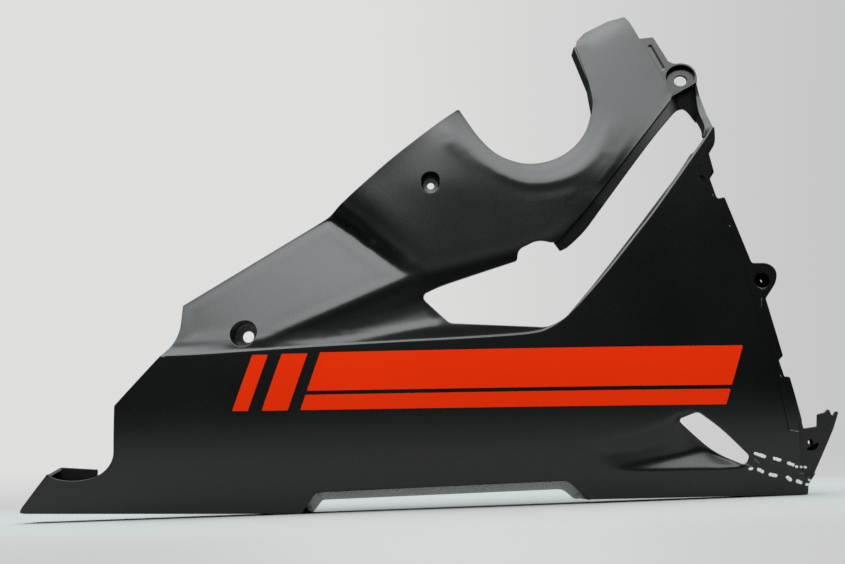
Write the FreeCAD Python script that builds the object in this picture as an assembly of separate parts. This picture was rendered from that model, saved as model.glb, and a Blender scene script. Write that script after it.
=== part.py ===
import FreeCAD, Part
import math
import os

V = FreeCAD.Vector
A = "A"                       # corner rounded as far as its two sides allow

# ---------------------------------------------------------------- driving dimensions (mm)
WALL = 3.0                    # moulded wall
LOW_X0, LOW_Z0 = 60.0, -150.0  # middle of the lower face
LOW_BACK, LOW_FRONT = 8.0e-5, 2.0e-4   # how fast the lower face turns in, lengthways
LOW_DOWN, LOW_UP = 1.15e-3, 1.2e-4     # and downwards, upwards
SAT = 30.0                    # reach of the crease slope
CUP_A_HOLE_R, CUP_A_SEAT_R, CUP_A_STEP = 3.3, 6.9, 1.6   # upper screw cup: hole, seat, depth of its shoulder
CUP_B_R, CUP_B_HOLE_R, CUP_B_SEAT_R, CUP_B_STEP = 11.9, 5.25, 9.0, 2.2   # rear screw cup
CUP_WALL = 2.4
REBATE = 1.3                  # front edge, lapped by the next panel
TAB_STEP, LUG_DEEP = 2.3, 7.2  # tab and lug floor behind the arm's face
LEDGE_STEP = 3.6
LUG_HOLE_R = 5.8
BUSH_R, BUSH_HOLE_R = 4.6, 2.2
FILM = 0.25
FLANGE_Z = 3.0                # thickness of the bottom return
NOTCH_FALL = 0.16             # the return slopes down in the notch
RETURN_Y, TAIL_Y = 66.0, 40.5  # inner edge of the bottom return, back of the tail box
ORIGIN = (0.1, 26.0, 4.9)     # upper screw seat, becomes the frame's zero
CUP_A = (0.1, 4.9, 26.0)      # x, z, seat depth
CUP_B = (-169.5, -129.7, 33.0)
BUSH = (291.0, -95.3, 12.8)
BOSS = (324.3, -237.1)

# ---------------------------------------------------------------- outlines (x, z, corner radius)
OUTLINE = [
    (-375.7, -282.0, 3.0), (-345.7, -247.7, 1.3), (-339.5, -252.3, A), (-322.7, -255.0, A), (-304.9, -252.8, A),
    (-292.8, -246.9, A), (-285.0, -236.4, A), (-283.6, -190.4, 1.8), (-232.9, -137.8, A), (-227.9, -124.8, A),
    (-227.9, -100.5, 1.3), (-99.7, -18.5, A), (-89.7, -13.1, A), (-83.0, -8.2, A), (-65.2, 6.5, A), (-36.9, 31.3, A), (28.3, 81.5, 2.2),
    (45.4, 51.0, A), (62.2, 31.0, A), (89.3, 20.1, A), (119.9, 25.8, A), (143.1, 46.0, A), (155.4, 78.1, A),
    (153.8, 103.9, A), (144.6, 149.4, 1.2), (147.5, 159.0, 1.5), (156.2, 169.1, 1.5), (179.6, 181.4, 2.0),
    (195.6, 184.0, 1.5), (199.6, 177.4, 1.2), (230.6, 89.6, 1.2), (228.2, 83.4, 1.2), (156.0, -7.0, A),
    (141.6, -24.6, A), (114.2, -53.6, 1.2), (108.0, -57.4, A), (94.4, -54.0, A), (76.6, -62.4, A), (75.1, -72.4, 2.6),
    (6.2, -92.8, A), (-11.8, -100.8, 4.4), (13.7, -126.8, 8.8), (97.6, -132.9, A), (106.4, -130.1, A),
    (115.4, -124.8, A), (133.5, -104.8, A), (152.9, -82.3, A), (186.2, -41.9, A), (205.4, -18.0, A), (222.6, 2.7, A),
    (236.4, 22.4, 1.2), (240.3, 25.2, 1.2), (250.3, 38.0, A), (258.3, 49.6, 1.0),
    (260.2, 47.2, 1.0), (260.2, 39.8, A), (259.2, 31.8, A), (253.0, 22.3, 1.3), (256.1, 4.6, 1.2), (252.1, -1.0, 1.2),
    (256.9, -19.9, 2.6), (263.8, -18.4, 1.3), (282.9, -79.4, 2.6), (298.0, -79.6, A), (305.1, -86.6, A),
    (303.5, -97.0, A), (292.6, -111.6, 2.6), (303.4, -162.5, 1.2), (299.4, -166.4, 1.2), (303.1, -180.3, 1.2),
    (308.0, -180.9, 1.2), (318.3, -225.3, 1.2), (330.6, -223.8, 1.2), (331.3, -213.4, 1.2), (337.7, -212.0, 1.2),
    (341.5, -208.7, 1.2), (344.5, -215.7, 1.2), (347.6, -211.2, 1.0), (350.3, -211.8, 1.0), (345.2, -226.1, 1.8),
    (326.7, -264.9, 2.6), (321.1, -272.9, 1.8), (320.7, -281.9, 1.3), (129.6, -281.1, 4.4), (111.4, -264.7, 10.5),
    (-106.5, -269.0, 4.4), (-120.5, -287.5, 3.5)]
LEDGE = [
    (113.8, -64.1, 1.0), (119.5, -61.8, A), (124.6, -57.7, A), (137.0, -46.2, A), (148.8, -30.9, A), (161.9, -13.8, A),
    (188.9, 21.2, A), (209.4, 47.4, A), (229.8, 71.0, A), (236.0, 77.4, A), (241.0, 78.9, 1.0), (242.0, 90.0, 1.0),
    (233.0, 91.0, 1.0), (228.4, 87.6, 1.0),
    (152.4, -6.0, A), (138.4, -22.8, A), (112.0, -50.8, 1.0), (108.2, -55.5, 1.0)]
SLOT = [(225.6, -208.9, 6.2), (245.5, -223.7, A), (269.7, -247.8, 4.0), (266.0, -255.8, 4.4), (241.4, -243.9, A),
        (208.6, -215.2, 2.2)]
TAB = [
    (203.4, 152.4, 0.4), (206.9, 156.8, 0.4), (220.4, 156.7, 1.8), (231.4, 127.8, 3.0), (236.6, 123.9, A),
    (243.2, 124.4, A), (249.6, 121.4, A), (253.6, 116.2, A), (255.2, 109.8, A), (254.4, 101.2, 1.0), (230.9, 88.8, 0.6),
    (227.0, 90.0, 0.4)]
RIM = [(112.4, -55.2), (140.4, -25.4), (154.8, -7.8), (227.6, 82.4), (230.0, 87.0), (228.6, 89.6), (224.6, 84.8),
       (151.6, -5.4), (137.4, -22.8), (108.6, -53.6)]
CUP_A_MOUTH = [(-8.0, -5.0, A), (8.2, -5.0, A), (8.2, 15.4, A), (-8.0, 15.4, A)]
CUP_A_SHELL = [(-10.4, -7.4, A), (10.6, -7.4, A), (10.6, 17.8, A), (-10.4, 17.8, A)]
LUG_C, LUG_R = (240.4, 109.2), 12.9
LUG_HOLE = (241.2, 106.8)
FRONT_BAND = [(244.0, -1.0), (250.0, -18.0), (274.0, -79.0), (281.5, -112.0), (292.5, -162.0), (299.5, -200.0),
              (304.0, -226.0), (313.0, -228.0), (322.0, -224.0), (316.0, -180.0), (312.0, -150.0), (302.0, -111.0),
              (314.0, -97.0), (314.0, -70.0), (290.0, -70.0), (270.0, -10.0), (262.0, 8.0)]
BRACKET = [(313.6, -220.0), (325.0, -218.0), (325.0, -200.0), (356.0, -200.0), (356.0, -226.0), (330.0, -262.0),
           (320.0, -268.0), (313.4, -258.0)]
BAND = [[(-118.0, -199.0), (250.0, -203.5), (268.0, -153.0), (-100.0, -149.5)],
        [(-152.0, -198.6), (-129.0, -198.9), (-111.0, -150.0), (-134.0, -149.8)],
        [(-178.0, -198.2), (-164.0, -198.4), (-146.0, -150.0), (-160.0, -149.9)]]
PIN = [(-120.0, -185.9), (264.0, -190.4), (264.0, -187.0), (-120.0, -182.5)]
CREASE = [
    (-237.6, -147.8), (-206.6, -147.5), (-162.0, -146.0), (-103.6, -144.1), (-29.9, -142.2), (22.4, -141.0),
    (71.4, -139.2), (90.1, -137.3), (98.2, -135.0), (110.4, -130.5), (125.4, -117.5), (146.2, -93.8), (164.6, -72.8),
    (185.0, -48.5), (198.2, -32.6), (221.1, -3.0), (241.5, 24.0), (251.4, 37.2), (259.4, 48.7)]
CREASE_SLOPE = [0.46, 0.42, 0.36, 0.20, 0.13, 0.13, 0.16, 0.28, 0.42] + [0.5] * 10

# lines that carry the upper faces (x, z, depth)
REAR = (23.851, -11.909, 40.042, -3.967, 4.514, 1.906)   # rear facet, a slightly bowed plane
REAR_AREA = [
    (-231.0, -142.0), (-226.8, -124.8), (-226.6, -102.0), (-150.9, -52.3), (-99.0, -19.6), (-95.9, -17.6), (-76.3, -33.8),
    (-49.7, -56.8), (-27.7, -77.6), (-19.5, -83.0), (-27.6, -85.9), (-74.1, -105.2), (-117.8, -123.4), (-140.5, -132.8),
    (-152.0, -137.8), (-171.1, -140.0), (-204.6, -142.5)]
REAR_LINES = [
    [(-152.0, -137.8), (-140.5, -132.8), (-117.8, -123.4), (-74.1, -105.2), (-27.6, -85.9), (-19.5, -83.0)],
    [(-232.8, -143.0), (-204.6, -142.5), (-171.1, -140.0), (-152.0, -137.8)],
    [(-95.9, -17.1), (-76.3, -33.8), (-49.7, -56.8), (-27.7, -77.6), (-19.5, -83.0)],
    [(-227.0, -100.6), (-191.0, -77.5), (-150.9, -51.3), (-97.5, -17.4)],
    [(-227.9, -101.7), (-228.3, -124.8), (-232.8, -138.0)]]
UPPER = [
    [(-150.0, -143.6, 3.4), (-117.8, -142.5, 3.5), (-73.7, -140.6, 3.0), (-29.8, -133.2, 2.9), (10.6, -126.2, 3.2),
     (31.5, -129.1, 2.6), (61.1, -131.4, 2.1), (86.2, -132.7, 1.8)],
    [(-150.0, -142.4, 3.8), (-117.8, -140.0, 4.9), (-73.7, -137.6, 4.8), (-29.8, -129.4, 5.2), (2.0, -123.0, 5.6)],
    [(-150.0, -141.2, 4.2), (-117.8, -137.5, 5.8), (-73.7, -134.6, 5.8), (-29.8, -125.6, 6.5), (-2.0, -119.0, 6.9)],
    [(-150.0, -139.8, 4.7), (-117.8, -133.8, 6.7), (-73.7, -130.1, 7.0), (-29.8, -119.9, 8.0), (-6.0, -113.0, 8.5)],
    [(-150.0, -138.6, 5.1), (-117.8, -130.0, 7.2), (-73.7, -125.6, 7.5), (-29.8, -114.2, 8.7), (-9.0, -106.0, 9.2)],
    [(-5.8, -82.5, 5.0), (33.4, -74.1, 3.8), (78.0, -63.3, 3.0), (110.4, -52.9, 3.6), (140.9, -23.9, 8.0),
     (152.7, -10.1, 10.5), (194.2, 42.2, 23.0), (230.4, 87.2, 37.5)],
    [(6.2, -92.8, 7.6), (42.1, -81.5, 5.6), (74.3, -72.6, 4.8)],
    [(-89.8, -12.3, 34.9), (-71.9, -28.2, 28.1), (-45.7, -52.0, 17.5), (-21.0, -75.7, 7.8)],
    [(-83.6, -7.5, 28.0), (-67.6, -22.5, 22.6), (-41.6, -47.2, 14.2), (-14.3, -73.8, 6.5)],
    [(-77.3, -2.6, 25.4), (-63.1, -16.7, 20.5), (-37.5, -42.3, 13.0), (-7.4, -71.8, 6.0)],
    [(-68.0, 4.6, 24.5), (-56.5, -8.1, 19.8), (-31.4, -35.1, 12.5), (2.8, -68.9, 5.6)],
    [(-75.4, 0.1, 24.8), (-36.9, 31.3, 24.4), (-3.8, 56.2, 25.6), (11.4, 67.3, 27.6)],
    [(-32.6, -5.1, 17.6), (-0.2, 4.2, 14.2), (31.5, 0.3, 10.8), (62.4, -15.5, 8.3), (98.1, -19.8, 7.2),
     (129.8, -14.2, 8.0)],
    [(-1.3, -41.0, 9.2), (43.5, -41.3, 6.6), (79.1, -41.0, 5.4), (110.6, -34.6, 5.8)],
    [(20.5, 44.0, 19.0), (38.6, 22.4, 13.9), (61.6, 3.6, 10.6), (90.0, -7.6, 9.0), (120.5, -4.8, 9.5),
     (142.0, 5.6, 11.5), (161.6, 27.6, 17.2)],
    [(11.3, 64.6, 26.6), (24.8, 49.1, 20.0), (43.9, 27.9, 14.6), (65.8, 9.8, 10.8), (91.0, -0.5, 9.0),
     (117.3, 2.1, 9.6), (137.0, 11.2, 11.8), (156.1, 31.1, 17.6), (169.1, 58.8, 26.4)],
    [(28.6, 79.9, 33.5), (45.4, 50.4, 27.6), (63.2, 32.5, 24.2), (90.2, 21.6, 22.4), (116.3, 26.8, 23.4),
     (136.8, 42.5, 26.4), (149.2, 64.1, 31.0), (153.7, 82.6, 36.0)],
    [(154.4, 100.5, 41.0), (150.3, 122.7, 48.0), (145.1, 148.9, 57.0)],
    [(144.7, 149.8, 57.2), (170.8, 164.2, 60.6), (198.1, 178.6, 63.4)],
    [(147.5, 160.5, 70.0), (156.2, 171.0, 74.0), (179.6, 183.4, 76.0), (192.0, 184.6, 73.0)],
    [(198.5, 178.0, 63.2), (207.1, 154.8, 56.5), (219.2, 122.5, 47.6), (230.7, 90.1, 38.4)],
    [(165.2, 120.3, 46.0), (173.6, 91.1, 36.8), (179.8, 62.8, 27.8), (180.2, 41.2, 21.6), (165.7, 15.6, 14.8),
     (153.3, -1.0, 11.2)],
]
# web and rib that join the lug to the front corner
WEB_Y = 46.0
WEB = [
    (230.4, 73.0, 1.0), (235.6, 77.1, A), (240.2, 78.5, A), (243.6, 77.0, A), (246.4, 73.8, A), (250.8, 65.6, 0.8),
    (254.8, 66.0, 0.8), (256.0, 78.0, A), (255.8, 94.0, A), (254.9, 101.6, 1.0), (251.0, 105.0, 1.0), (229.4, 92.0, 1.0),
    (228.6, 84.0, 1.0)]
RIB = [
    (251.0, 38.6, 0.5), (258.9, 47.6, 0.5), (259.2, 50.0, 0.5), (258.7, 60.8, A), (257.7, 73.8, A), (256.5, 83.3, A),
    (255.5, 90.3, A), (254.8, 98.1, 0.5), (252.9, 97.6, 0.5), (252.7, 89.6, A), (252.3, 81.7, A), (251.8, 73.6, A),
    (252.0, 64.2, A), (252.4, 56.3, A), (252.0, 48.4, A), (249.6, 39.8, 0.5)]
RIB_FALL = [(38.0, 12.6), (47.0, 14.2), (51.0, 16.6), (56.3, 21.0), (64.2, 27.5), (73.7, 33.5), (82.5, 37.8), (90.0, 40.2),
            (99.0, 42.2)]
ARM_EDGE = [(230.6, 89.6, 38.3), (194.2, 42.2, 23.0), (152.7, -10.1, 10.5), (140.9, -23.9, 8.0), (110.4, -52.9, 3.6)]
GROOVE = [(216.7, 146.0), (225.4, 120.4)]
# lines that carry the scoop beside the slot (x, z, depth below the lower face)
SCOOP = [
    [(95.0, -237.0, 0.0), (127.5, -230.0, 0.0), (150.0, -228.5, 0.0), (172.0, -225.5, 0.0), (191.0, -219.0, 0.0),
     (206.0, -212.5, 0.0), (216.0, -209.0, 0.0)],
    [(95.0, -256.0, 0.0), (135.0, -257.6, 0.0), (180.0, -258.0, 0.0), (225.0, -257.6, 0.0), (268.0, -257.4, 0.0)],
    [(95.0, -237.0, 0.0), (92.0, -246.0, 0.0), (95.0, -256.0, 0.0)],
    [(157.0, -255.4, 1.0), (190.0, -249.5, 6.0), (216.0, -244.2, 10.5), (234.0, -241.0, 13.0)],
    [(208.6, -215.2, 8.0), (224.0, -228.5, 13.0), (241.4, -243.9, 14.0), (256.0, -251.5, 7.0), (266.0, -255.8, 1.5)],
    [(135.0, -242.0, 1.4), (170.0, -238.0, 5.0), (198.0, -231.0, 8.5)],
    [(84.0, -200.0, -5.0), (276.0, -200.0, -5.0), (276.0, -266.0, -5.0), (84.0, -266.0, -5.0), (84.0, -200.0, -5.0)],
    [(222.0, -205.0, -2.0), (232.0, -208.0, -3.0), (250.0, -222.0, -3.0), (274.0, -246.0, -3.0), (273.0, -256.0, -2.0)],
]


# ---------------------------------------------------------------- surfaces
def low(x, z):
    d, e = x - LOW_X0, z - LOW_Z0
    return (LOW_BACK if d < 0 else LOW_FRONT) * d * d + (LOW_DOWN if e < 0 else LOW_UP) * e * e


def dense(line, step):
    out = []
    for a, b in zip(line[:-1], line[1:]):
        n = max(1, int(math.hypot(b[0] - a[0], b[1] - a[1]) / step))
        for i in range(n):
            t = i / n
            out.append(tuple(p + (q - p) * t for p, q in zip(a, b)))
    out.append(tuple(line[-1]))
    return out


def smooth(line, step):
    pts = [tuple(2 * a - b for a, b in zip(line[0], line[1]))] + list(line)
    pts.append(tuple(2 * a - b for a, b in zip(line[-1], line[-2])))
    out = []
    for i in range(1, len(pts) - 2):
        p0, p1, p2, p3 = pts[i - 1:i + 3]
        n = max(1, int(math.hypot(p2[0] - p1[0], p2[1] - p1[1]) / step))
        for j in range(n):
            t = j / n
            out.append(tuple(0.5 * (2 * b + (c - a) * t + (2 * a - 5 * b + 4 * c - d) * t * t
                                    + (3 * b - a - 3 * c + d) * t ** 3) for a, b, c, d in zip(p0, p1, p2, p3)))
    out.append(tuple(line[-1]))
    return out


_c = smooth(CREASE, 3.0)
_c = [(-460.0, -148.0)] + _c + [(_c[-1][0] + 90.0, _c[-1][1] + 129.0)]


def side(x, z):
    """Distance from the crease, positive on the upper side."""
    best, sg = 1e18, 1.0
    for (ax, az), (bx, bz) in zip(_c[:-1], _c[1:]):
        dx, dz = bx - ax, bz - az
        t = ((x - ax) * dx + (z - az) * dz) / (dx * dx + dz * dz)
        t = 0.0 if t < 0 else 1.0 if t > 1 else t
        ex, ez = x - ax - t * dx, z - az - t * dz
        d = ex * ex + ez * ez
        if d < best:
            best, sg = d, (1.0 if dx * (z - az) - dz * (x - ax) >= 0 else -1.0)
    return sg * math.sqrt(best)


class Field:
    """Values given along lines, filled in between like a stretched skin, then softened."""

    def __init__(self, x0, z0, x1, z1, h, lines, soften):
        self.x0, self.z0, self.h = x0, z0, h
        self.nx, self.nz = int(round((x1 - x0) / h)) + 1, int(round((z1 - z0) / h)) + 1
        nx, nz = self.nx, self.nz
        tot, num = [[0.0] * nz for _ in range(nx)], [[0.0] * nz for _ in range(nx)]
        for line in lines:
            for x, z, v in dense(line, h * 0.3):
                i, j = int(round((x - x0) / h)), int(round((z - z0) / h))
                if 0 <= i < nx and 0 <= j < nz:
                    tot[i][j] += v
                    num[i][j] += 1.0
        fixed = [[num[i][j] > 0 for j in range(nz)] for i in range(nx)]
        vals = [tot[i][j] / num[i][j] for i in range(nx) for j in range(nz) if fixed[i][j]]
        mean = sum(vals) / len(vals)
        g = [[tot[i][j] / num[i][j] if fixed[i][j] else mean for j in range(nz)] for i in range(nx)]
        free = [(i, j) for i in range(nx) for j in range(nz) if not fixed[i][j]]
        for _ in range(420):
            for i, j in free:
                a = g[i - 1][j] if i else g[1][j]
                b = g[i + 1][j] if i < nx - 1 else g[nx - 2][j]
                c = g[i][j - 1] if j else g[i][1]
                d = g[i][j + 1] if j < nz - 1 else g[i][nz - 2]
                g[i][j] += 1.88 * (0.25 * (a + b + c + d) - g[i][j])
        for _ in range(soften):
            g = [[0.25 * g[max(i - 1, 0)][j] + 0.5 * g[i][j] + 0.25 * g[min(i + 1, nx - 1)][j] for j in range(nz)]
                 for i in range(nx)]
            g = [[0.25 * r[max(j - 1, 0)] + 0.5 * r[j] + 0.25 * r[min(j + 1, nz - 1)] for j in range(nz)] for r in g]
        self.g = g

    def __call__(self, x, z):
        u = min(max((x - self.x0) / self.h, 0.0), self.nx - 1.001)
        w = min(max((z - self.z0) / self.h, 0.0), self.nz - 1.001)
        i, j = int(u), int(w)
        u, w = u - i, w - j
        g = self.g
        return (g[i][j] * (1 - u) * (1 - w) + g[i + 1][j] * u * (1 - w) + g[i][j + 1] * (1 - u) * w
                + g[i + 1][j + 1] * u * w)


def reach(s):
    return SAT * math.tanh(s / SAT)


def rear(x, z):
    u, w = (x + 120.0) / 100.0, (z + 80.0) / 100.0
    return REAR[0] + REAR[1] * u + REAR[2] * w + REAR[3] * u * u + REAR[4] * u * w + REAR[5] * w * w


def within(x, z, poly):
    odd = False
    for (ax, az), (bx, bz) in zip(poly, poly[1:] + poly[:1]):
        if (az > z) != (bz > z) and x < ax + (z - az) * (bx - ax) / (bz - az):
            odd = not odd
    return odd


def share(x, z, y):
    return (x, z, (y - low(x, z)) / max(reach(side(x, z)), 1.0))


lines = [[(x, z, k) for (x, z), k in zip(CREASE, CREASE_SLOPE)]]
lines += [[share(x, z, y) for x, z, y in smooth(line, 3.0)] for line in UPPER]
lines += [[share(x, z, rear(x, z)) for x, z in smooth(line, 3.0)] for line in REAR_LINES]
for i in range(55):
    for j in range(33):
        x, z = -232.0 + 4.0 * i, -144.0 + 4.0 * j
        if within(x, z, REAR_AREA):
            lines.append([share(x, z, rear(x, z))])
UX0, UZ0, UX1, UZ1, UH = -256.0, -192.0, 300.0, 196.0, 4.0
ratio = Field(UX0, UZ0, UX1, UZ1, UH, lines, 2)
CX0, CZ0, CX1, CZ1, CH = 84.0, -266.0, 276.0, -200.0, 3.0
dip = Field(CX0, CZ0, CX1, CZ1, CH, SCOOP, 1)


def upper(x, z):
    return low(x, z) + reach(side(x, z)) * ratio(x, z)


def grid(fn, x0, z0, x1, z1, h, off):
    """Depth samples of a face, moved `off` square to it."""
    nx, nz = int(round((x1 - x0) / h)) + 1, int(round((z1 - z0) / h)) + 1
    hx, hz = (x1 - x0) / (nx - 1), (z1 - z0) / (nz - 1)
    y = [[fn(x0 + i * hx, z0 + j * hz) for j in range(nz)] for i in range(nx)]
    rows = []
    for i in range(nx):
        row = []
        for j in range(nz):
            i0, i1, j0, j1 = max(i - 1, 0), min(i + 1, nx - 1), max(j - 1, 0), min(j + 1, nz - 1)
            gx, gz = (y[i1][j] - y[i0][j]) / ((i1 - i0) * hx), (y[i][j1] - y[i][j0]) / ((j1 - j0) * hz)
            row.append(V(x0 + i * hx, y[i][j] + off * min(math.sqrt(1 + gx * gx + gz * gz), 1.9), z0 + j * hz))
        rows.append(row)
    s = Part.BSplineSurface()
    s.interpolate(rows)
    return s.toShape()


def solid(sh):
    if sh.ShapeType == "Solid":
        return sh
    if len(sh.Solids) == 1:
        return sh.Solids[0]
    return sh


# ---------------------------------------------------------------- flat outlines
def wire(poly):
    n = len(poly)
    ends, arcs = [], []
    for i in range(n):
        p, (x, z, r), q = poly[i - 1], poly[i], poly[(i + 1) % n]
        ax, az, bx, bz = p[0] - x, p[1] - z, q[0] - x, q[1] - z
        la, lb = math.hypot(ax, az), math.hypot(bx, bz)
        ax, az, bx, bz = ax / la, az / la, bx / lb, bz / lb
        th = math.acos(max(-1.0, min(1.0, ax * bx + az * bz)))
        if math.pi - th < 2e-3 or r == 0:
            ends.append((V(x, 0, z), V(x, 0, z)))
            arcs.append(None)
            continue
        cot = 1.0 / math.tan(th / 2)
        d = 0.48 * min(la, lb) if r == A else min(r * cot, 0.48 * min(la, lb))
        rr = d / cot
        h = rr / math.sin(th / 2)
        m = math.hypot(ax + bx, az + bz)
        mx, mz = (ax + bx) / m, (az + bz) / m
        ends.append((V(x + ax * d, 0, z + az * d), V(x + bx * d, 0, z + bz * d)))
        arcs.append(V(x + mx * (h - rr), 0, z + mz * (h - rr)))
    edges = []
    for i in range(n):
        a, b = ends[i]
        if arcs[i] is not None:
            edges.append(Part.Arc(a, arcs[i], b).toShape())
        nxt = ends[(i + 1) % n][0]
        if (nxt - b).Length > 1e-4:
            edges.append(Part.LineSegment(b, nxt).toShape())
    return Part.Wire(edges)


def prism(poly, y0=-60.0, y1=190.0):
    pts = [p if len(p) == 3 else (p[0], p[1], 0) for p in poly]
    f = Part.Face(wire(pts))
    f.translate(V(0, y0, 0))
    return f.extrude(V(0, y1 - y0, 0))


def cyl(x, z, r, y0, y1):
    return Part.makeCylinder(r, y1 - y0, V(x, y0, z), V(0, 1, 0))


def box(x0, x1, y0, y1, z0, z1):
    return Part.makeBox(x1 - x0, y1 - y0, z1 - z0, V(x0, y0, z0))


# ---------------------------------------------------------------- moulded skin
def behind_low(off):
    return grid(low, -400.0, -310.0, 380.0, 200.0, 30.0, off).extrude(V(0, 170, 0))


def front_upper(off):
    return grid(upper, UX0, UZ0, UX1, UZ1, 6.5, off).extrude(V(0, -170, 0))


def front_scoop(off):
    def fn(x, z):
        return low(x, z) + dip(x, z) - 0.35
    return grid(fn, CX0, CZ0, CX1, CZ1, 4.0, off).extrude(V(0, -120, 0))


frontU, frontU_in = front_upper(0.0), front_upper(WALL)
frontC, frontC_in = front_scoop(0.0), front_scoop(WALL)
outer = behind_low(0.0).cut(frontU).cut(frontC)
inner = behind_low(WALL).cut(frontU_in).cut(frontC_in)
shell = outer.cut(inner)
print("shell", shell.Volume, len(shell.Solids), shell.isValid())

skin = shell.common(prism(OUTLINE)).cut(prism(SLOT))
print("skin", skin.Volume, len(skin.Solids), skin.isValid())
EMBED = 0.8                   # returns start inside the wall they grow from
lowB = {o: behind_low(o) for o in (-FILM, 0.0, EMBED, REBATE, WALL - 0.4, WALL, 2 * WALL)}


def tab_face(x, z):
    """Set-back plane of the tab and lug beside the arm."""
    return 38.3 - 0.138 * (x - 230.6) + 0.232 * (z - 89.6)


arm_edge = smooth(ARM_EDGE, 4.0)


def ledge_face(x, z):
    """Face that carries on from the arm's lower edge."""
    best, y = 1e9, 0.0
    for (ax, az, ay), (bx, bz, by) in zip(arm_edge[:-1], arm_edge[1:]):
        dx, dz = bx - ax, bz - az
        t = min(max(((x - ax) * dx + (z - az) * dz) / (dx * dx + dz * dz), 0.0), 1.0)
        d = math.hypot(x - ax - t * dx, z - az - t * dz)
        if d < best:
            best, y = d, ay + t * (by - ay)
    return y + 0.01 * best + 0.022 * max(x - 224.0, 0.0) ** 2


def rib_front(x, z):
    for (a, u), (b, v) in zip(rib_fall[:-1], rib_fall[1:]):
        if z <= b:
            return u + (v - u) * max(z - a, 0.0) / (b - a)
    return rib_fall[-1][1]


rib_fall = smooth(RIB_FALL, 1.0)


def tab_fore(off):
    return grid(lambda x, z: tab_face(x, z) + off, 190.0, 75.0, 270.0, 170.0, 32.0, 0.0).extrude(V(0, -170, 0))


def ledge_fore(off):
    return grid(lambda x, z: ledge_face(x, z) + off, 98.0, -76.0, 250.0, 100.0, 6.0, 0.0).extrude(V(0, -170, 0))


# top tab with its groove, lug, and the ledge along the window
parts = [skin]
(ax, az), (bx, bz) = GROOVE
gl = math.hypot(bx - ax, bz - az)
ux, uz = (bx - ax) / gl, (bz - az) / gl
groove = [(ax - 1.6 * uz, az + 1.6 * ux, A), (ax + 1.6 * uz, az - 1.6 * ux, A), (bx + 1.6 * uz, bz - 1.6 * ux, A),
          (bx - 1.6 * uz, bz + 1.6 * ux, A)]
tabF, tabB = tab_fore(TAB_STEP), tab_fore(TAB_STEP + WALL)
floorF, floorB = tab_fore(LUG_DEEP), tab_fore(LUG_DEEP + WALL)
tab = prism(TAB).cut(cyl(LUG_C[0], LUG_C[1], LUG_R, -60, 190)).common(tabB).cut(tabF)
parts.append(tab.cut(prism(groove).common(tab_fore(TAB_STEP + 0.6))))
ring = cyl(LUG_C[0], LUG_C[1], LUG_R + 1.5, -60, 190).cut(cyl(LUG_C[0], LUG_C[1], LUG_R, -61, 191))
parts.append(ring.common(floorB).cut(tab_fore(TAB_STEP + 1.0)))
parts.append(cyl(LUG_C[0], LUG_C[1], LUG_R + 0.9, -60, 190).common(floorB).cut(floorF))
parts.append(prism(LEDGE).common(ledge_fore(LEDGE_STEP + WALL)).cut(ledge_fore(LEDGE_STEP)))
rim = prism(RIM).common(ledge_fore(LEDGE_STEP + WALL - 0.4))
parts.append(rim.cut(grid(upper, 92.0, -84.0, 300.0, 196.0, 6.5, EMBED).extrude(V(0, -170, 0))))

# web and rib below the lug
parts.append(prism(WEB, WEB_Y, WEB_Y + WALL))
rib = prism(RIB, -60, WEB_Y + WALL)
parts.append(rib.cut(grid(rib_front, 236.0, 30.0, 272.0, 108.0, 4.0, 0.0).extrude(V(0, -170, 0))))

# screw cups
parts.append(prism(CUP_A_SHELL, -60, CUP_A[2] + CUP_WALL).cut(frontU))
parts.append(cyl(CUP_B[0], CUP_B[1], CUP_B_R + CUP_WALL, -60, CUP_B[2] + CUP_WALL).cut(frontU))

# side return of the arm
side_band = [(142.6, 150.0), (153.6, 104.0), (155.0, 78.0), (148.0, 55.0), (151.0, 54.0), (158.4, 78.0), (157.0, 104.4),
             (147.6, 150.6)]
ret = prism(side_band, -60, 92).common(prism(OUTLINE)).cut(frontU)
ret = ret.cut(Part.makeBox(80, 200, 200, V(110, 0, 0), V(0, 0, 1)).common(
    prism([(120.0, 40.0), (170.0, 40.0), (170.0, 170.0), (120.0, 170.0)]).common(
        grid(lambda x, z: 46.0 + 0.33 * (z - 55.0), 100.0, 30.0, 190.0, 190.0, 40.0, 0.0).extrude(V(0, 160, 0)))))
parts.append(ret)

# bottom return and tail box
def strip(a, b, t0, t1, e0=0.0, e1=0.0):
    """Band beside the line a-b, t0 to t1 to its left, ends drawn in by e0 and e1."""
    d = math.hypot(b[0] - a[0], b[1] - a[1])
    ux, uz = (b[0] - a[0]) / d, (b[1] - a[1]) / d
    nx, nz = -uz, ux
    p = (a[0] + ux * e0, a[1] + uz * e0)
    q = (b[0] - ux * e1, b[1] - uz * e1)
    return [(p[0] + nx * t0, p[1] + nz * t0), (q[0] + nx * t0, q[1] + nz * t0), (q[0] + nx * t1, q[1] + nz * t1),
            (p[0] + nx * t1, p[1] + nz * t1)]


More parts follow.
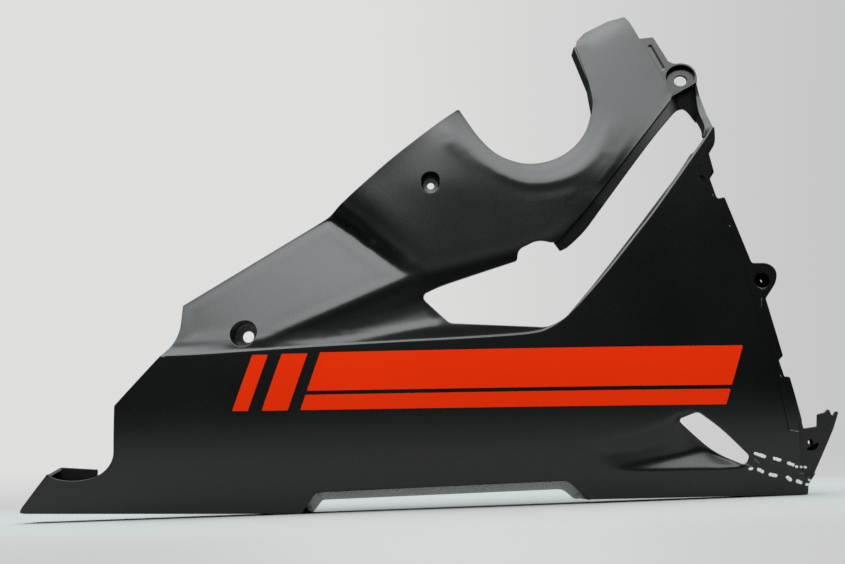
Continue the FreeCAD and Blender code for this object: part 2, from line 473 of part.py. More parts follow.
t = FLANGE_Z
left = strip((-375.7, -282.0), (-120.5, -287.5), 0.3, 0.3 + t, 2.6, 2.0)
right = strip((129.6, -281.1), (320.7, -281.9), 0.3, 0.3 + t, 1.0, 2.0)
end = strip((-345.7, -247.7), (-375.7, -282.0), 0.4, 0.4 + t, 1.6, 3.6)
parts.append(prism(left, -60, RETURN_Y).common(lowB[EMBED]))
parts.append(prism(end, -60, TAIL_Y + WALL).common(lowB[EMBED]))
parts.append(prism(right, -60, RETURN_Y).common(lowB[EMBED]))
notch = [(-123.6, -286.2, 0.5), (-121.0, -287.1, 0.5), (-106.9, -268.6, 4.4), (111.5, -264.3, 10.5), (129.9, -280.8, 0.5),
         (131.5, -278.6, 0.5), (112.6, -261.3, 12.0), (-108.6, -265.6, 6.0)]
nf = Part.Face(wire(notch))
nf.translate(V(0, 13.0, 0))
nf = nf.extrude(V(0, RETURN_Y - 13.0, -NOTCH_FALL * (RETURN_Y - 13.0)))
nf = nf.cut(box(-140.0, 0.0, 0.0, 90.0, -320.0, -287.7)).cut(box(0.0, 140.0, 0.0, 90.0, -320.0, -281.6))
parts.append(nf.common(lowB[EMBED]))
tail_back = [(-366.5, -281.4), (-339.6, -242.3), (-307.0, -244.9), (-307.0, -281.6)]
parts.append(prism(tail_back, TAIL_Y, TAIL_Y + WALL))
tail_end = [(-14.0, 30.0), (-1.0, 25.6), (7.4, TAIL_Y), (7.4, TAIL_Y + WALL), (-14.0, TAIL_Y + WALL)]
tail_end = [V(-345.7 + 0.6587 * u + 0.7524 * 0.45, y, -247.7 + 0.7524 * u - 0.6587 * 0.45) for u, y in tail_end]
parts.append(Part.Face(Part.makePolygon(tail_end + tail_end[:1])).extrude(V(0.7524 * 2.9, 0, -0.6587 * 2.9)))

# lower front bracket and its boss, front lug seat
pad = [(309.0, -224.0)] + BRACKET[1:-2] + [(316.0, -270.0), (309.0, -262.0)]
parts.append(prism(pad).common(prism(OUTLINE)).common(lowB[WALL - 0.4]).cut(lowB[2 * WALL]))
parts.append(prism(OUTLINE).common(cyl(BOSS[0], BOSS[1], 7.2, 20.0, 36.0)).common(lowB[WALL]))
parts.append(cyl(BUSH[0], BUSH[1], 9.0, 11.0, 19.0).common(lowB[REBATE]))

panel = parts[0]
for extra in parts[1:]:
    panel = panel.fuse(extra)
print("fused", len(panel.Solids), round(panel.Volume), panel.isValid())

# holes and rebates
tools = [prism(CUP_A_MOUTH, -60, CUP_A[2] - CUP_A_STEP), cyl(CUP_A[0], CUP_A[1], CUP_A_SEAT_R, -60, CUP_A[2]),
         cyl(CUP_A[0], CUP_A[1], CUP_A_HOLE_R, -60, 190), cyl(CUP_B[0], CUP_B[1], CUP_B_R, -60, CUP_B[2] - CUP_B_STEP),
         cyl(CUP_B[0], CUP_B[1], CUP_B_SEAT_R, -60, CUP_B[2]), cyl(CUP_B[0], CUP_B[1], CUP_B_HOLE_R, -60, 190),
         cyl(LUG_HOLE[0], LUG_HOLE[1], LUG_HOLE_R, -60, 190),
         prism(FRONT_BAND, -60, 60).cut(lowB[REBATE]), prism(BRACKET, -60, 60).cut(lowB[WALL]),
         cyl(BUSH[0], BUSH[1], 6.8, -60, BUSH[2]), cyl(BUSH[0], BUSH[1], BUSH_R, -60, 60),
         cyl(BOSS[0], BOSS[1], 2.4, -60, 60)]
panel = panel.cut(tools)
print("panel", len(panel.Solids), round(panel.Volume), panel.isValid())
panel = panel.removeSplitter() if len(panel.Solids) == 1 else panel
print("panel", [round(q.Volume) for q in panel.Solids], panel.isValid())

# printed film on the lower face
film = lowB[-FILM].cut(lowB[0.0])
film = Part.makeCompound([s for b in BAND for s in film.common(prism(b)).cut(prism(PIN)).Solids])
print("film", [round(q.Volume, 1) for q in film.Solids], film.isValid())

# bush in the front lug
prof = [(BUSH_HOLE_R, -1.2), (5.6, -1.2), (6.3, -0.6), (6.3, 0.0), (BUSH_R, 0.0), (BUSH_R, 6.2), (6.0, 6.2), (6.0, 7.4),
        (5.0, 8.6), (BUSH_HOLE_R, 8.6)]
w = Part.makePolygon([V(BUSH[0] + r, BUSH[2] + y, BUSH[1]) for r, y in prof + prof[:1]])
bush = Part.Face(w).revolve(V(BUSH[0], 0, BUSH[1]), V(0, 1, 0), 360)

os.makedirs("parts", exist_ok=True)
for name, shape in (("fairing_panel", panel), ("stripe_film", film), ("front_bush", bush)):
    if shape.ShapeType == "Compound" and len(shape.Solids) == 1:
        shape = shape.Solids[0]
    shape.translate(V(-ORIGIN[0], -ORIGIN[1], -ORIGIN[2]))
    shape.exportStep("parts/%s.step" % name)
    b = shape.BoundBox
    print(name, len(shape.Solids), [round(v, 1) for v in (b.XMin, b.XMax, b.YMin, b.YMax, b.ZMin, b.ZMax)])
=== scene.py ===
import math

import bpy
import numpy as np
from mathutils import Matrix, Vector
from mathutils.geometry import delaunay_2d_cdt


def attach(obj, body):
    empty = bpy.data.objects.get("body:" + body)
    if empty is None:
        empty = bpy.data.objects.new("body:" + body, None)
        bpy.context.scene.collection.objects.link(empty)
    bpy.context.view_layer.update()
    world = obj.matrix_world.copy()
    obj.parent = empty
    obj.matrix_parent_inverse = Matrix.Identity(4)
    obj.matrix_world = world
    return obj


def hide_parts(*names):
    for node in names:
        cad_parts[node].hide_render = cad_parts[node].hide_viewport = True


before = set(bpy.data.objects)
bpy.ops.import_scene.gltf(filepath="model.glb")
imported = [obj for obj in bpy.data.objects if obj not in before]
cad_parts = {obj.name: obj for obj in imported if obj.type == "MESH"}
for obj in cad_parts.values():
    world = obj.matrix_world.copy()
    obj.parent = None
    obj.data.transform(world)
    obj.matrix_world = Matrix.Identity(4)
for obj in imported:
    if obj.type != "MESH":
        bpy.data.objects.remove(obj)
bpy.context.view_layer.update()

A = "A"                       # corner rounded as far as its two sides allow

# ---------------------------------------------------------------- dimensions (mm), as in the part
WALL = 3.0
LOW_X0, LOW_Z0 = 60.0, -150.0
LOW_BACK, LOW_FRONT = 8.0e-5, 2.0e-4
LOW_DOWN, LOW_UP = 1.15e-3, 1.2e-4
SAT = 30.0
CUP_A_HOLE_R, CUP_A_SEAT_R, CUP_A_STEP = 3.3, 6.9, 1.6
CUP_B_R, CUP_B_HOLE_R, CUP_B_SEAT_R, CUP_B_STEP = 11.9, 5.25, 9.0, 2.2
CUP_WALL = 2.4
REBATE = 1.3
TAB_STEP, LUG_DEEP = 2.3, 7.2
LEDGE_STEP = 3.6
LUG_HOLE_R = 5.8
BUSH_R, BUSH_HOLE_R = 4.6, 2.2
FILM = 0.25
FLANGE_Z = 3.0
NOTCH_FALL = 0.16
RETURN_Y, TAIL_Y = 66.0, 40.5
EMBED = 0.8
ORIGIN = np.array((0.1, 26.0, 4.9))
CUP_A = (0.1, 4.9, 26.0)
CUP_B = (-169.5, -129.7, 33.0)
BUSH = (291.0, -95.3, 12.8)
BOSS = (324.3, -237.1)
LIP = 1.1                     # small step that runs along the crease

OUTLINE = [
    (-375.7, -282.0, 3.0), (-345.7, -247.7, 1.3), (-339.5, -252.3, A), (-322.7, -255.0, A), (-304.9, -252.8, A),
    (-292.8, -246.9, A), (-285.0, -236.4, A), (-283.6, -190.4, 1.8), (-232.9, -137.8, A), (-227.9, -124.8, A),
    (-227.9, -100.5, 1.3), (-99.7, -18.5, A), (-89.7, -13.1, A), (-83.0, -8.2, A), (-65.2, 6.5, A), (-36.9, 31.3, A), (28.3, 81.5, 2.2),
    (45.4, 51.0, A), (62.2, 31.0, A), (89.3, 20.1, A), (119.9, 25.8, A), (143.1, 46.0, A), (155.4, 78.1, A),
    (153.8, 103.9, A), (144.6, 149.4, 1.2), (147.5, 159.0, 1.5), (156.2, 169.1, 1.5), (179.6, 181.4, 2.0),
    (195.6, 184.0, 1.5), (199.6, 177.4, 1.2), (230.6, 89.6, 1.2), (228.2, 83.4, 1.2), (156.0, -7.0, A),
    (141.6, -24.6, A), (114.2, -53.6, 1.2), (108.0, -57.4, A), (94.4, -54.0, A), (76.6, -62.4, A), (75.1, -72.4, 2.6),
    (6.2, -92.8, A), (-11.8, -100.8, 4.4), (13.7, -126.8, 8.8), (97.6, -132.9, A), (106.4, -130.1, A),
    (115.4, -124.8, A), (133.5, -104.8, A), (152.9, -82.3, A), (186.2, -41.9, A), (205.4, -18.0, A), (222.6, 2.7, A),
    (236.4, 22.4, 1.2), (240.3, 25.2, 1.2), (250.3, 38.0, A), (258.3, 49.6, 1.0),
    (260.2, 47.2, 1.0), (260.2, 39.8, A), (259.2, 31.8, A), (253.0, 22.3, 1.3), (256.1, 4.6, 1.2), (252.1, -1.0, 1.2),
    (256.9, -19.9, 2.6), (263.8, -18.4, 1.3), (282.9, -79.4, 2.6), (298.0, -79.6, A), (305.1, -86.6, A),
    (303.5, -97.0, A), (292.6, -111.6, 2.6), (303.4, -162.5, 1.2), (299.4, -166.4, 1.2), (303.1, -180.3, 1.2),
    (308.0, -180.9, 1.2), (318.3, -225.3, 1.2), (330.6, -223.8, 1.2), (331.3, -213.4, 1.2), (337.7, -212.0, 1.2),
    (341.5, -208.7, 1.2), (344.5, -215.7, 1.2), (347.6, -211.2, 1.0), (350.3, -211.8, 1.0), (345.2, -226.1, 1.8),
    (326.7, -264.9, 2.6), (321.1, -272.9, 1.8), (320.7, -281.9, 1.3), (129.6, -281.1, 4.4), (111.4, -264.7, 10.5),
    (-106.5, -269.0, 4.4), (-120.5, -287.5, 3.5)]
LEDGE = [
    (113.8, -64.1, 1.0), (119.5, -61.8, A), (124.6, -57.7, A), (137.0, -46.2, A), (148.8, -30.9, A), (161.9, -13.8, A),
    (188.9, 21.2, A), (209.4, 47.4, A), (229.8, 71.0, A), (236.0, 77.4, A), (241.0, 78.9, 1.0), (242.0, 90.0, 1.0),
    (233.0, 91.0, 1.0), (228.4, 87.6, 1.0),
    (152.4, -6.0, A), (138.4, -22.8, A), (112.0, -50.8, 1.0), (108.2, -55.5, 1.0)]
SLOT = [(225.6, -208.9, 6.2), (245.5, -223.7, A), (269.7, -247.8, 4.0), (266.0, -255.8, 4.4), (241.4, -243.9, A),
        (208.6, -215.2, 2.2)]
TAB = [
    (203.4, 152.4, 0.4), (206.9, 156.8, 0.4), (220.4, 156.7, 1.8), (231.4, 127.8, 3.0), (236.6, 123.9, A),
    (243.2, 124.4, A), (249.6, 121.4, A), (253.6, 116.2, A), (255.2, 109.8, A), (254.4, 101.2, 1.0), (230.9, 88.8, 0.6),
    (227.0, 90.0, 0.4)]
RIM = [(112.4, -55.2), (140.4, -25.4), (154.8, -7.8), (227.6, 82.4), (230.0, 87.0), (228.6, 89.6), (224.6, 84.8),
       (151.6, -5.4), (137.4, -22.8), (108.6, -53.6)]
SIDE_BAND = [(142.6, 150.0), (153.6, 104.0), (155.0, 78.0), (148.0, 55.0), (151.0, 54.0), (158.4, 78.0), (157.0, 104.4),
             (147.6, 150.6)]
CUP_A_MOUTH = [(-8.0, -5.0, A), (8.2, -5.0, A), (8.2, 15.4, A), (-8.0, 15.4, A)]
CUP_A_SHELL = [(-10.4, -7.4, A), (10.6, -7.4, A), (10.6, 17.8, A), (-10.4, 17.8, A)]
LUG_C, LUG_R = (240.4, 109.2), 12.9
LUG_HOLE = (241.2, 106.8)
FRONT_BAND = [(244.0, -1.0), (250.0, -18.0), (274.0, -79.0), (281.5, -112.0), (292.5, -162.0), (299.5, -200.0),
              (304.0, -226.0), (313.0, -228.0), (322.0, -224.0), (316.0, -180.0), (312.0, -150.0), (302.0, -111.0),
              (314.0, -97.0), (314.0, -70.0), (290.0, -70.0), (270.0, -10.0), (262.0, 8.0)]
BRACKET = [(313.6, -220.0), (325.0, -218.0), (325.0, -200.0), (356.0, -200.0), (356.0, -226.0), (330.0, -262.0),
           (320.0, -268.0), (313.4, -258.0)]
BAND = [[(-118.0, -199.0), (250.0, -203.5), (268.0, -153.0), (-100.0, -149.5)],
        [(-152.0, -198.6), (-129.0, -198.9), (-111.0, -150.0), (-134.0, -149.8)],
        [(-178.0, -198.2), (-164.0, -198.4), (-146.0, -150.0), (-160.0, -149.9)]]
PIN = [(-120.0, -185.9), (264.0, -190.4), (264.0, -187.0), (-120.0, -182.5)]
CREASE = [
    (-237.6, -147.8), (-206.6, -147.5), (-162.0, -146.0), (-103.6, -144.1), (-29.9, -142.2), (22.4, -141.0),
    (71.4, -139.2), (90.1, -137.3), (98.2, -135.0), (109.1, -128.9), (124.3, -116.5), (146.2, -93.8), (164.6, -72.8),
    (185.0, -48.5), (198.2, -32.6), (221.1, -3.0), (241.5, 24.0), (251.4, 37.2), (259.4, 48.7)]
CREASE_SLOPE = [0.46, 0.42, 0.36, 0.20, 0.13, 0.13, 0.14] + [0.15] * 12
REAR = (23.851, -11.909, 40.042, -3.967, 4.514, 1.906)   # rear facet, a slightly bowed plane
REAR_AREA = [
    (-231.0, -142.0), (-226.8, -124.8), (-226.6, -102.0), (-150.9, -52.3), (-99.0, -19.6), (-95.9, -17.6), (-76.3, -33.8),
    (-49.7, -56.8), (-27.7, -77.6), (-19.5, -83.0), (-27.6, -85.9), (-74.1, -105.2), (-117.8, -123.4), (-140.5, -132.8),
    (-152.0, -137.8), (-171.1, -140.0), (-204.6, -142.5)]
REAR_LINES = [
    [(-152.0, -137.8), (-140.5, -132.8), (-117.8, -123.4), (-74.1, -105.2), (-27.6, -85.9), (-19.5, -83.0)],
    [(-232.8, -143.0), (-204.6, -142.5), (-171.1, -140.0), (-152.0, -137.8)],
    [(-95.9, -17.1), (-76.3, -33.8), (-49.7, -56.8), (-27.7, -77.6), (-19.5, -83.0)],
    [(-227.0, -100.6), (-191.0, -77.5), (-150.9, -51.3), (-97.5, -17.4)],
    [(-227.9, -101.7), (-228.3, -124.8), (-232.8, -138.0)]]
UPPER = [
    [(-150.0, -143.6, 4.9), (-117.8, -142.5, 4.1), (-73.7, -140.6, 3.1), (-29.8, -133.2, 2.9), (10.6, -126.2, 3.2),
     (31.5, -129.1, 2.6), (61.1, -131.4, 2.1), (86.2, -132.7, 1.8)],
    [(-150.0, -142.4, 5.2), (-117.8, -140.0, 5.2), (-73.7, -137.6, 4.8), (-29.8, -129.4, 5.2), (2.0, -123.0, 5.6)],
    [(-150.0, -141.2, 5.4), (-117.8, -137.5, 6.0), (-73.7, -134.6, 5.8), (-29.8, -125.6, 6.5), (-2.0, -119.0, 6.9)],
    [(-150.0, -139.8, 5.6), (-117.8, -133.8, 6.7), (-73.7, -130.1, 7.0), (-29.8, -119.9, 8.0), (-6.0, -113.0, 8.5)],
    [(-150.0, -138.6, 5.7), (-117.8, -130.0, 7.2), (-73.7, -125.6, 7.5), (-29.8, -114.2, 8.7), (-9.0, -106.0, 9.2)],
    [(-5.8, -82.5, 5.0), (33.4, -74.1, 3.8), (78.0, -63.3, 3.0), (110.4, -52.9, 3.6), (140.9, -23.9, 8.0),
     (152.7, -10.1, 10.5), (194.2, 42.2, 23.0), (230.4, 87.2, 37.5)],
    [(6.2, -92.8, 7.6), (42.1, -81.5, 5.6), (74.3, -72.6, 4.8)],
    [(-89.8, -12.3, 34.9), (-71.9, -28.2, 28.1), (-45.7, -52.0, 17.5), (-21.0, -75.7, 7.8)],
    [(-83.6, -7.5, 28.0), (-67.6, -22.5, 22.6), (-41.6, -47.2, 14.2), (-14.3, -73.8, 6.5)],
    [(-77.3, -2.6, 25.4), (-63.1, -16.7, 20.5), (-37.5, -42.3, 13.0), (-7.4, -71.8, 6.0)],
    [(-68.0, 4.6, 24.5), (-56.5, -8.1, 19.8), (-31.4, -35.1, 12.5), (2.8, -68.9, 5.6)],
    [(-75.4, 0.1, 24.8), (-36.9, 31.3, 24.4), (-3.8, 56.2, 25.6), (11.4, 67.3, 27.6)],
    [(-32.6, -5.1, 17.6), (-0.2, 4.2, 14.2), (31.5, 0.3, 10.8), (62.4, -15.5, 8.3), (98.1, -19.8, 7.2),
     (129.8, -14.2, 8.0)],
    [(-1.3, -41.0, 9.2), (43.5, -41.3, 6.6), (79.1, -41.0, 5.4), (110.6, -34.6, 5.8)],
    [(20.5, 44.0, 19.0), (38.6, 22.4, 13.9), (61.6, 3.6, 10.6), (90.0, -7.6, 9.0), (120.5, -4.8, 9.5),
     (142.0, 5.6, 11.5), (161.6, 27.6, 17.2)],
    [(11.3, 64.6, 26.6), (24.8, 49.1, 20.0), (43.9, 27.9, 14.6), (65.8, 9.8, 10.8), (91.0, -0.5, 9.0),
     (117.3, 2.1, 9.6), (137.0, 11.2, 11.8), (156.1, 31.1, 17.6), (169.1, 58.8, 26.4)],
    [(28.6, 79.9, 33.5), (45.4, 50.4, 27.6), (63.2, 32.5, 24.2), (90.2, 21.6, 22.4), (116.3, 26.8, 23.4),
     (136.8, 42.5, 26.4), (149.2, 64.1, 31.0), (153.7, 82.6, 36.0)],
    [(154.4, 100.5, 41.0), (150.3, 122.7, 48.0), (145.1, 148.9, 57.0)],
    [(144.7, 149.8, 57.2), (170.8, 164.2, 60.6), (198.1, 178.6, 63.4)],
    [(147.5, 160.5, 70.0), (156.2, 171.0, 74.0), (179.6, 183.4, 76.0), (192.0, 184.6, 73.0)],
    [(198.5, 178.0, 63.2), (207.1, 154.8, 56.5), (219.2, 122.5, 47.6), (230.7, 90.1, 38.4)],
    [(165.2, 120.3, 46.0), (173.6, 91.1, 36.8), (179.8, 62.8, 27.8), (180.2, 41.2, 21.6), (165.7, 15.6, 14.8),
     (153.3, -1.0, 11.2)],
]
SHARP = (5, 6, 7, 14, 15, 16, 17)   # of the lines above, those that are folds; the rear facet's edges are folds too
# web and rib that join the lug to the front corner
WEB_Y = 45.0
WEB = [
    (230.4, 73.0, 1.0), (235.6, 77.1, A), (240.2, 78.5, A), (243.6, 77.0, A), (246.4, 73.8, A), (252.2, 64.6, 0.8),
    (254.8, 64.6, 0.8), (256.0, 78.0, A), (255.6, 92.0, A), (254.4, 100.9, 0.8), (250.8, 99.9, A), (246.5, 97.4, A),
    (240.5, 95.6, A), (234.5, 93.0, A), (230.5, 89.0, 1.0), (228.6, 84.0, 1.0)]
RIB = [
    (251.0, 38.6, 0.5), (258.9, 47.6, 0.5), (259.2, 50.0, 0.5), (258.7, 60.8, A), (257.7, 73.8, A), (256.5, 83.3, A),
    (255.5, 90.3, A), (254.0, 102.4, 0.5), (252.4, 101.6, 0.5), (252.7, 89.6, A), (252.3, 81.7, A), (251.8, 73.6, A),
    (252.0, 64.2, A), (252.4, 56.3, A), (252.0, 48.4, A), (249.6, 39.8, 0.5)]
RIB_FALL = [(38.0, 12.6), (47.0, 14.2), (51.0, 16.6), (56.3, 21.0), (64.2, 27.5), (73.7, 33.0), (82.5, 36.6), (90.0, 38.6),
            (104.0, 39.6)]
ARM_EDGE = [(230.6, 89.6, 38.3), (194.2, 42.2, 23.0), (152.7, -10.1, 10.5), (140.9, -23.9, 8.0), (110.4, -52.9, 3.6)]
GROOVE = [(216.7, 146.0), (225.4, 120.4)]
SCOOP = [
    [(95.0, -237.0, 0.0), (127.5, -230.0, 0.0), (150.0, -228.5, 0.0), (172.0, -225.5, 0.0), (191.0, -219.0, 0.0),
     (206.0, -212.5, 0.0), (216.0, -209.0, 0.0)],
    [(95.0, -256.0, 0.0), (135.0, -257.6, 0.0), (180.0, -258.0, 0.0), (225.0, -257.6, 0.0), (268.0, -257.4, 0.0)],
    [(95.0, -237.0, 0.0), (92.0, -246.0, 0.0), (95.0, -256.0, 0.0)],
    [(157.0, -255.4, 1.0), (190.0, -249.5, 6.0), (216.0, -244.2, 10.5), (234.0, -241.0, 13.0)],
    [(208.6, -215.2, 8.0), (224.0, -228.5, 13.0), (241.4, -243.9, 14.0), (256.0, -251.5, 7.0), (266.0, -255.8, 1.5)],
    [(135.0, -242.0, 1.4), (170.0, -238.0, 5.0), (198.0, -231.0, 8.5)],
    [(84.0, -200.0, -5.0), (276.0, -200.0, -5.0), (276.0, -266.0, -5.0), (84.0, -266.0, -5.0), (84.0, -200.0, -5.0)],
    [(222.0, -205.0, -2.0), (232.0, -208.0, -3.0), (250.0, -222.0, -3.0), (274.0, -246.0, -3.0), (273.0, -256.0, -2.0)],
]


# ---------------------------------------------------------------- surfaces
def low(x, z):
    d, e = x - LOW_X0, z - LOW_Z0
    return np.where(d < 0, LOW_BACK, LOW_FRONT) * d * d + np.where(e < 0, LOW_DOWN, LOW_UP) * e * e


def dense(line, step):
    out = []
    for a, b in zip(line[:-1], line[1:]):
        n = max(1, int(math.hypot(b[0] - a[0], b[1] - a[1]) / step))
        for i in range(n):
            t = i / n
            out.append(tuple(p + (q - p) * t for p, q in zip(a, b)))
    out.append(tuple(line[-1]))
    return out


def smooth(line, step):
    pts = [tuple(2 * a - b for a, b in zip(line[0], line[1]))] + list(line)
    pts.append(tuple(2 * a - b for a, b in zip(line[-1], line[-2])))
    out = []
    for i in range(1, len(pts) - 2):
        p0, p1, p2, p3 = pts[i - 1:i + 3]
        n = max(1, int(math.hypot(p2[0] - p1[0], p2[1] - p1[1]) / step))
        for j in range(n):
            t = j / n
            out.append(tuple(0.5 * (2 * b + (c - a) * t + (2 * a - 5 * b + 4 * c - d) * t * t
                                    + (3 * b - a - 3 * c + d) * t ** 3) for a, b, c, d in zip(p0, p1, p2, p3)))
    out.append(tuple(line[-1]))
    return out


crease_line = smooth(CREASE, 3.0)
crease_line = ([(-460.0, -148.0)] + crease_line
               + [(crease_line[-1][0] + 90.0, crease_line[-1][1] + 129.0)])


def side_exact(x, z):
    """Distance from the crease, positive on the upper side."""
    best, sg = np.full(x.shape, 1e18), np.ones(x.shape)
    for (ax, az), (bx, bz) in zip(crease_line[:-1], crease_line[1:]):
        dx, dz = bx - ax, bz - az
        px, pz = x - ax, z - az
        t = np.clip((px * dx + pz * dz) / (dx * dx + dz * dz), 0.0, 1.0)
        d = (px - t * dx) ** 2 + (pz - t * dz) ** 2
        m = d < best
        best = np.where(m, d, best)
        sg = np.where(m, np.where(dx * pz - dz * px >= 0, 1.0, -1.0), sg)
    return sg * np.sqrt(best)


def blur(a, sigma):
    n = int(math.ceil(3 * sigma))
    if n < 1:
        return a
    k = np.exp(-0.5 * (np.arange(-n, n + 1) / sigma) ** 2)
    k /= k.sum()
    for axis in (0, 1):
        pad = [(n, n) if i == axis else (0, 0) for i in (0, 1)]
        p = np.pad(a, pad, mode="edge")
        out = np.zeros_like(a)
        for i, w in enumerate(k):
            sl = [slice(None), slice(None)]
            sl[axis] = slice(i, i + a.shape[axis])
            out += w * p[tuple(sl)]
        a = out
    return a


class Grid:
    """Values on a square grid, read back as a smooth surface."""

    def __init__(self, x0, z0, h, g):
        self.x0, self.z0, self.h, self.g = x0, z0, h, g

    def __call__(self, x, z):
        g = self.g
        u = np.clip((np.asarray(x) - self.x0) / self.h, 0.0, g.shape[0] - 1.0)
        w = np.clip((np.asarray(z) - self.z0) / self.h, 0.0, g.shape[1] - 1.0)
        i, j = np.floor(u).astype(int), np.floor(w).astype(int)
        u, w = u - i, w - j

        def weights(t):
            return ((1 - t) ** 3 / 6, (3 * t ** 3 - 6 * t ** 2 + 4) / 6, (-3 * t ** 3 + 3 * t ** 2 + 3 * t + 1) / 6,
                    t ** 3 / 6)
        wu, ww = weights(u), weights(w)
        out = 0.0
        for a in range(4):
            ia = np.clip(i + a - 1, 0, g.shape[0] - 1)
            row = 0.0
            for b in range(4):
                row = row + ww[b] * g[ia, np.clip(j + b - 1, 0, g.shape[1] - 1)]
            out = out + wu[a] * row
        return out


def relax(x0, z0, x1, z1, h, lines, turns):
    """Values given along lines, filled in between like a stretched skin."""
    nx, nz = int(round((x1 - x0) / h)) + 1, int(round((z1 - z0) / h)) + 1
    tot, num = np.zeros((nx, nz)), np.zeros((nx, nz))
    for line in lines:
        p = np.array(dense(line, h * 0.3))
        i, j = np.rint((p[:, 0] - x0) / h).astype(int), np.rint((p[:, 1] - z0) / h).astype(int)
        ok = (i >= 0) & (i < nx) & (j >= 0) & (j < nz)
        np.add.at(tot, (i[ok], j[ok]), p[ok, 2])
        np.add.at(num, (i[ok], j[ok]), 1.0)
    fixed = num > 0
    val = tot[fixed] / num[fixed]
    g = np.full((nx, nz), val.mean())
    g[fixed] = val
    odd = np.add.outer(np.arange(nx), np.arange(nz)) % 2 == 1
    masks = [~fixed & odd, ~fixed & ~odd]
    p = np.zeros((nx + 2, nz + 2))
    for turn in range(turns):
        for m in masks:
            p[1:-1, 1:-1] = g
            p[0, 1:-1], p[-1, 1:-1], p[1:-1, 0], p[1:-1, -1] = g[1], g[-2], g[:, 1], g[:, -2]
            mean = 0.25 * (p[:-2, 1:-1] + p[2:, 1:-1] + p[1:-1, :-2] + p[1:-1, 2:])
            g = np.where(m, g + 1.93 * (mean - g), g)
    return g


def reach(s):
    return SAT * np.tanh(s / SAT)


def lift(s, w):
    """s where positive, easing to nothing below."""
    return 0.5 * (s + np.sqrt(s * s + w * w))


def step(a, b, x):
    t = np.clip((x - a) / (b - a), 0.0, 1.0)
    return t * t * (3 - 2 * t)


def lip(s):
    return LIP * step(-0.2, 1.5, s) * (1 - step(2.0, 13.0, s))


GX = np.arange(-392.0, 368.1, 1.0)
GZ = np.arange(-302.0, 200.1, 1.0)
gx, gz = np.meshgrid(GX, GZ, indexing="ij")
crease = Grid(GX[0], GZ[0], 1.0, side_exact(gx, gz))



def polygon_depth(x, z, poly):
    """Distance from a polygon's border, positive inside."""
    best, odd = np.full(x.shape, 1e18), np.zeros(x.shape, bool)
    for (ax, az), (bx, bz) in zip(poly, poly[1:] + poly[:1]):
        dx, dz = bx - ax, bz - az
        px, pz = x - ax, z - az
        t = np.clip((px * dx + pz * dz) / (dx * dx + dz * dz), 0.0, 1.0)
        best = np.minimum(best, (px - t * dx) ** 2 + (pz - t * dz) ** 2)
        if dz != 0:
            odd ^= ((az > z) != (bz > z)) & (x < ax + pz * dx / dz)
    return np.where(odd, 1.0, -1.0) * np.sqrt(best)


def away(x, z, some):
    """Distance from the nearest of some lines."""
    best = np.full(x.shape, 1e18)
    for line in some:
        for a, b in zip(line[:-1], line[1:]):
            dx, dz = b[0] - a[0], b[1] - a[1]
            t = np.clip(((x - a[0]) * dx + (z - a[1]) * dz) / (dx * dx + dz * dz), 0.0, 1.0)
            best = np.minimum(best, (x - a[0] - t * dx) ** 2 + (z - a[1] - t * dz) ** 2)
    return np.sqrt(best)


def rear(x, z):
    u, w = (x + 120.0) / 100.0, (z + 80.0) / 100.0
    return REAR[0] + REAR[1] * u + REAR[2] * w + REAR[3] * u * u + REAR[4] * u * w + REAR[5] * w * w


def share(p):
    """Depths along a line, as a share of the reach from the crease."""
    s = side_exact(p[:, 0], p[:, 1])
    k = (p[:, 2] - low(p[:, 0], p[:, 1]) - lip(s)) / np.maximum(reach(s), 1.0)
    return [(a, b, c) for a, b, c in zip(p[:, 0], p[:, 1], k)]


lines = [[(x, z, k) for (x, z), k in zip(CREASE, CREASE_SLOPE)]]
lines += [share(np.array(smooth(line, 2.0))) for line in UPPER]
for line in REAR_LINES:
    p = np.array(smooth(line, 2.0))
    lines.append(share(np.column_stack((p, rear(p[:, 0], p[:, 1])))))
px, pz = np.meshgrid(np.arange(-234.0, -16.0, 2.0), np.arange(-144.0, -14.0, 2.0), indexing="ij")
ok = polygon_depth(px, pz, REAR_AREA) > 0.0
p = np.column_stack((px[ok], pz[ok], rear(px[ok], pz[ok])))
lines += [[q] for q in share(p)]
raw = relax(-256.0, -192.0, 300.0, 196.0, 2.0, lines, 900)
rx, rz = np.meshgrid(np.arange(-256.0, 300.1, 2.0), np.arange(-192.0, 196.1, 2.0), indexing="ij")
soft = step(4.0, 16.0, away(rx, rz, [UPPER[i] for i in SHARP] + REAR_LINES + UPPER[:5] + [CREASE]))
ratio = Grid(-256.0, -192.0, 2.0, (1 - soft) * blur(raw, 1.0) + soft * blur(raw, 4.5))
dip = Grid(84.0, -266.0, 1.0, blur(relax(84.0, -266.0, 276.0, -200.0, 1.0, SCOOP, 900), 2.8))


def plain(x, z):
    """Painted face without its small steps."""
    s = crease(x, z)
    return low(x, z) + reach(lift(s, 0.5)) * ratio(x, z)


def face(x, z):
    """Painted face of the skin."""
    s = crease(x, z)
    y = low(x, z) + reach(lift(s, 0.9)) * ratio(x, z)
    y = y + lip(s)
    scoop = lift(dip(x, z) - 0.35, 0.7)
    edge = step(84.0, 92.0, x) * step(276.0, 271.0, x) * step(-266.0, -261.0, z) * step(-200.0, -205.0, z)
    y = y + scoop * edge
    back = np.maximum(REBATE * step(-0.35, 0.45, polygon_depth(x, z, FRONT_BAND)),
                      WALL * step(-0.3, 0.5, polygon_depth(x, z, BRACKET)))
    y = y + back
    r = np.hypot(x - BUSH[0], z - BUSH[1])
    return y + (np.maximum(y, BUSH[2]) - y) * step(7.1, 6.6, r)


def slope(fn, x, z, h=0.5):
    return (fn(x + h, z) - fn(x - h, z)) / (2 * h), (fn(x, z + h) - fn(x, z - h)) / (2 * h)


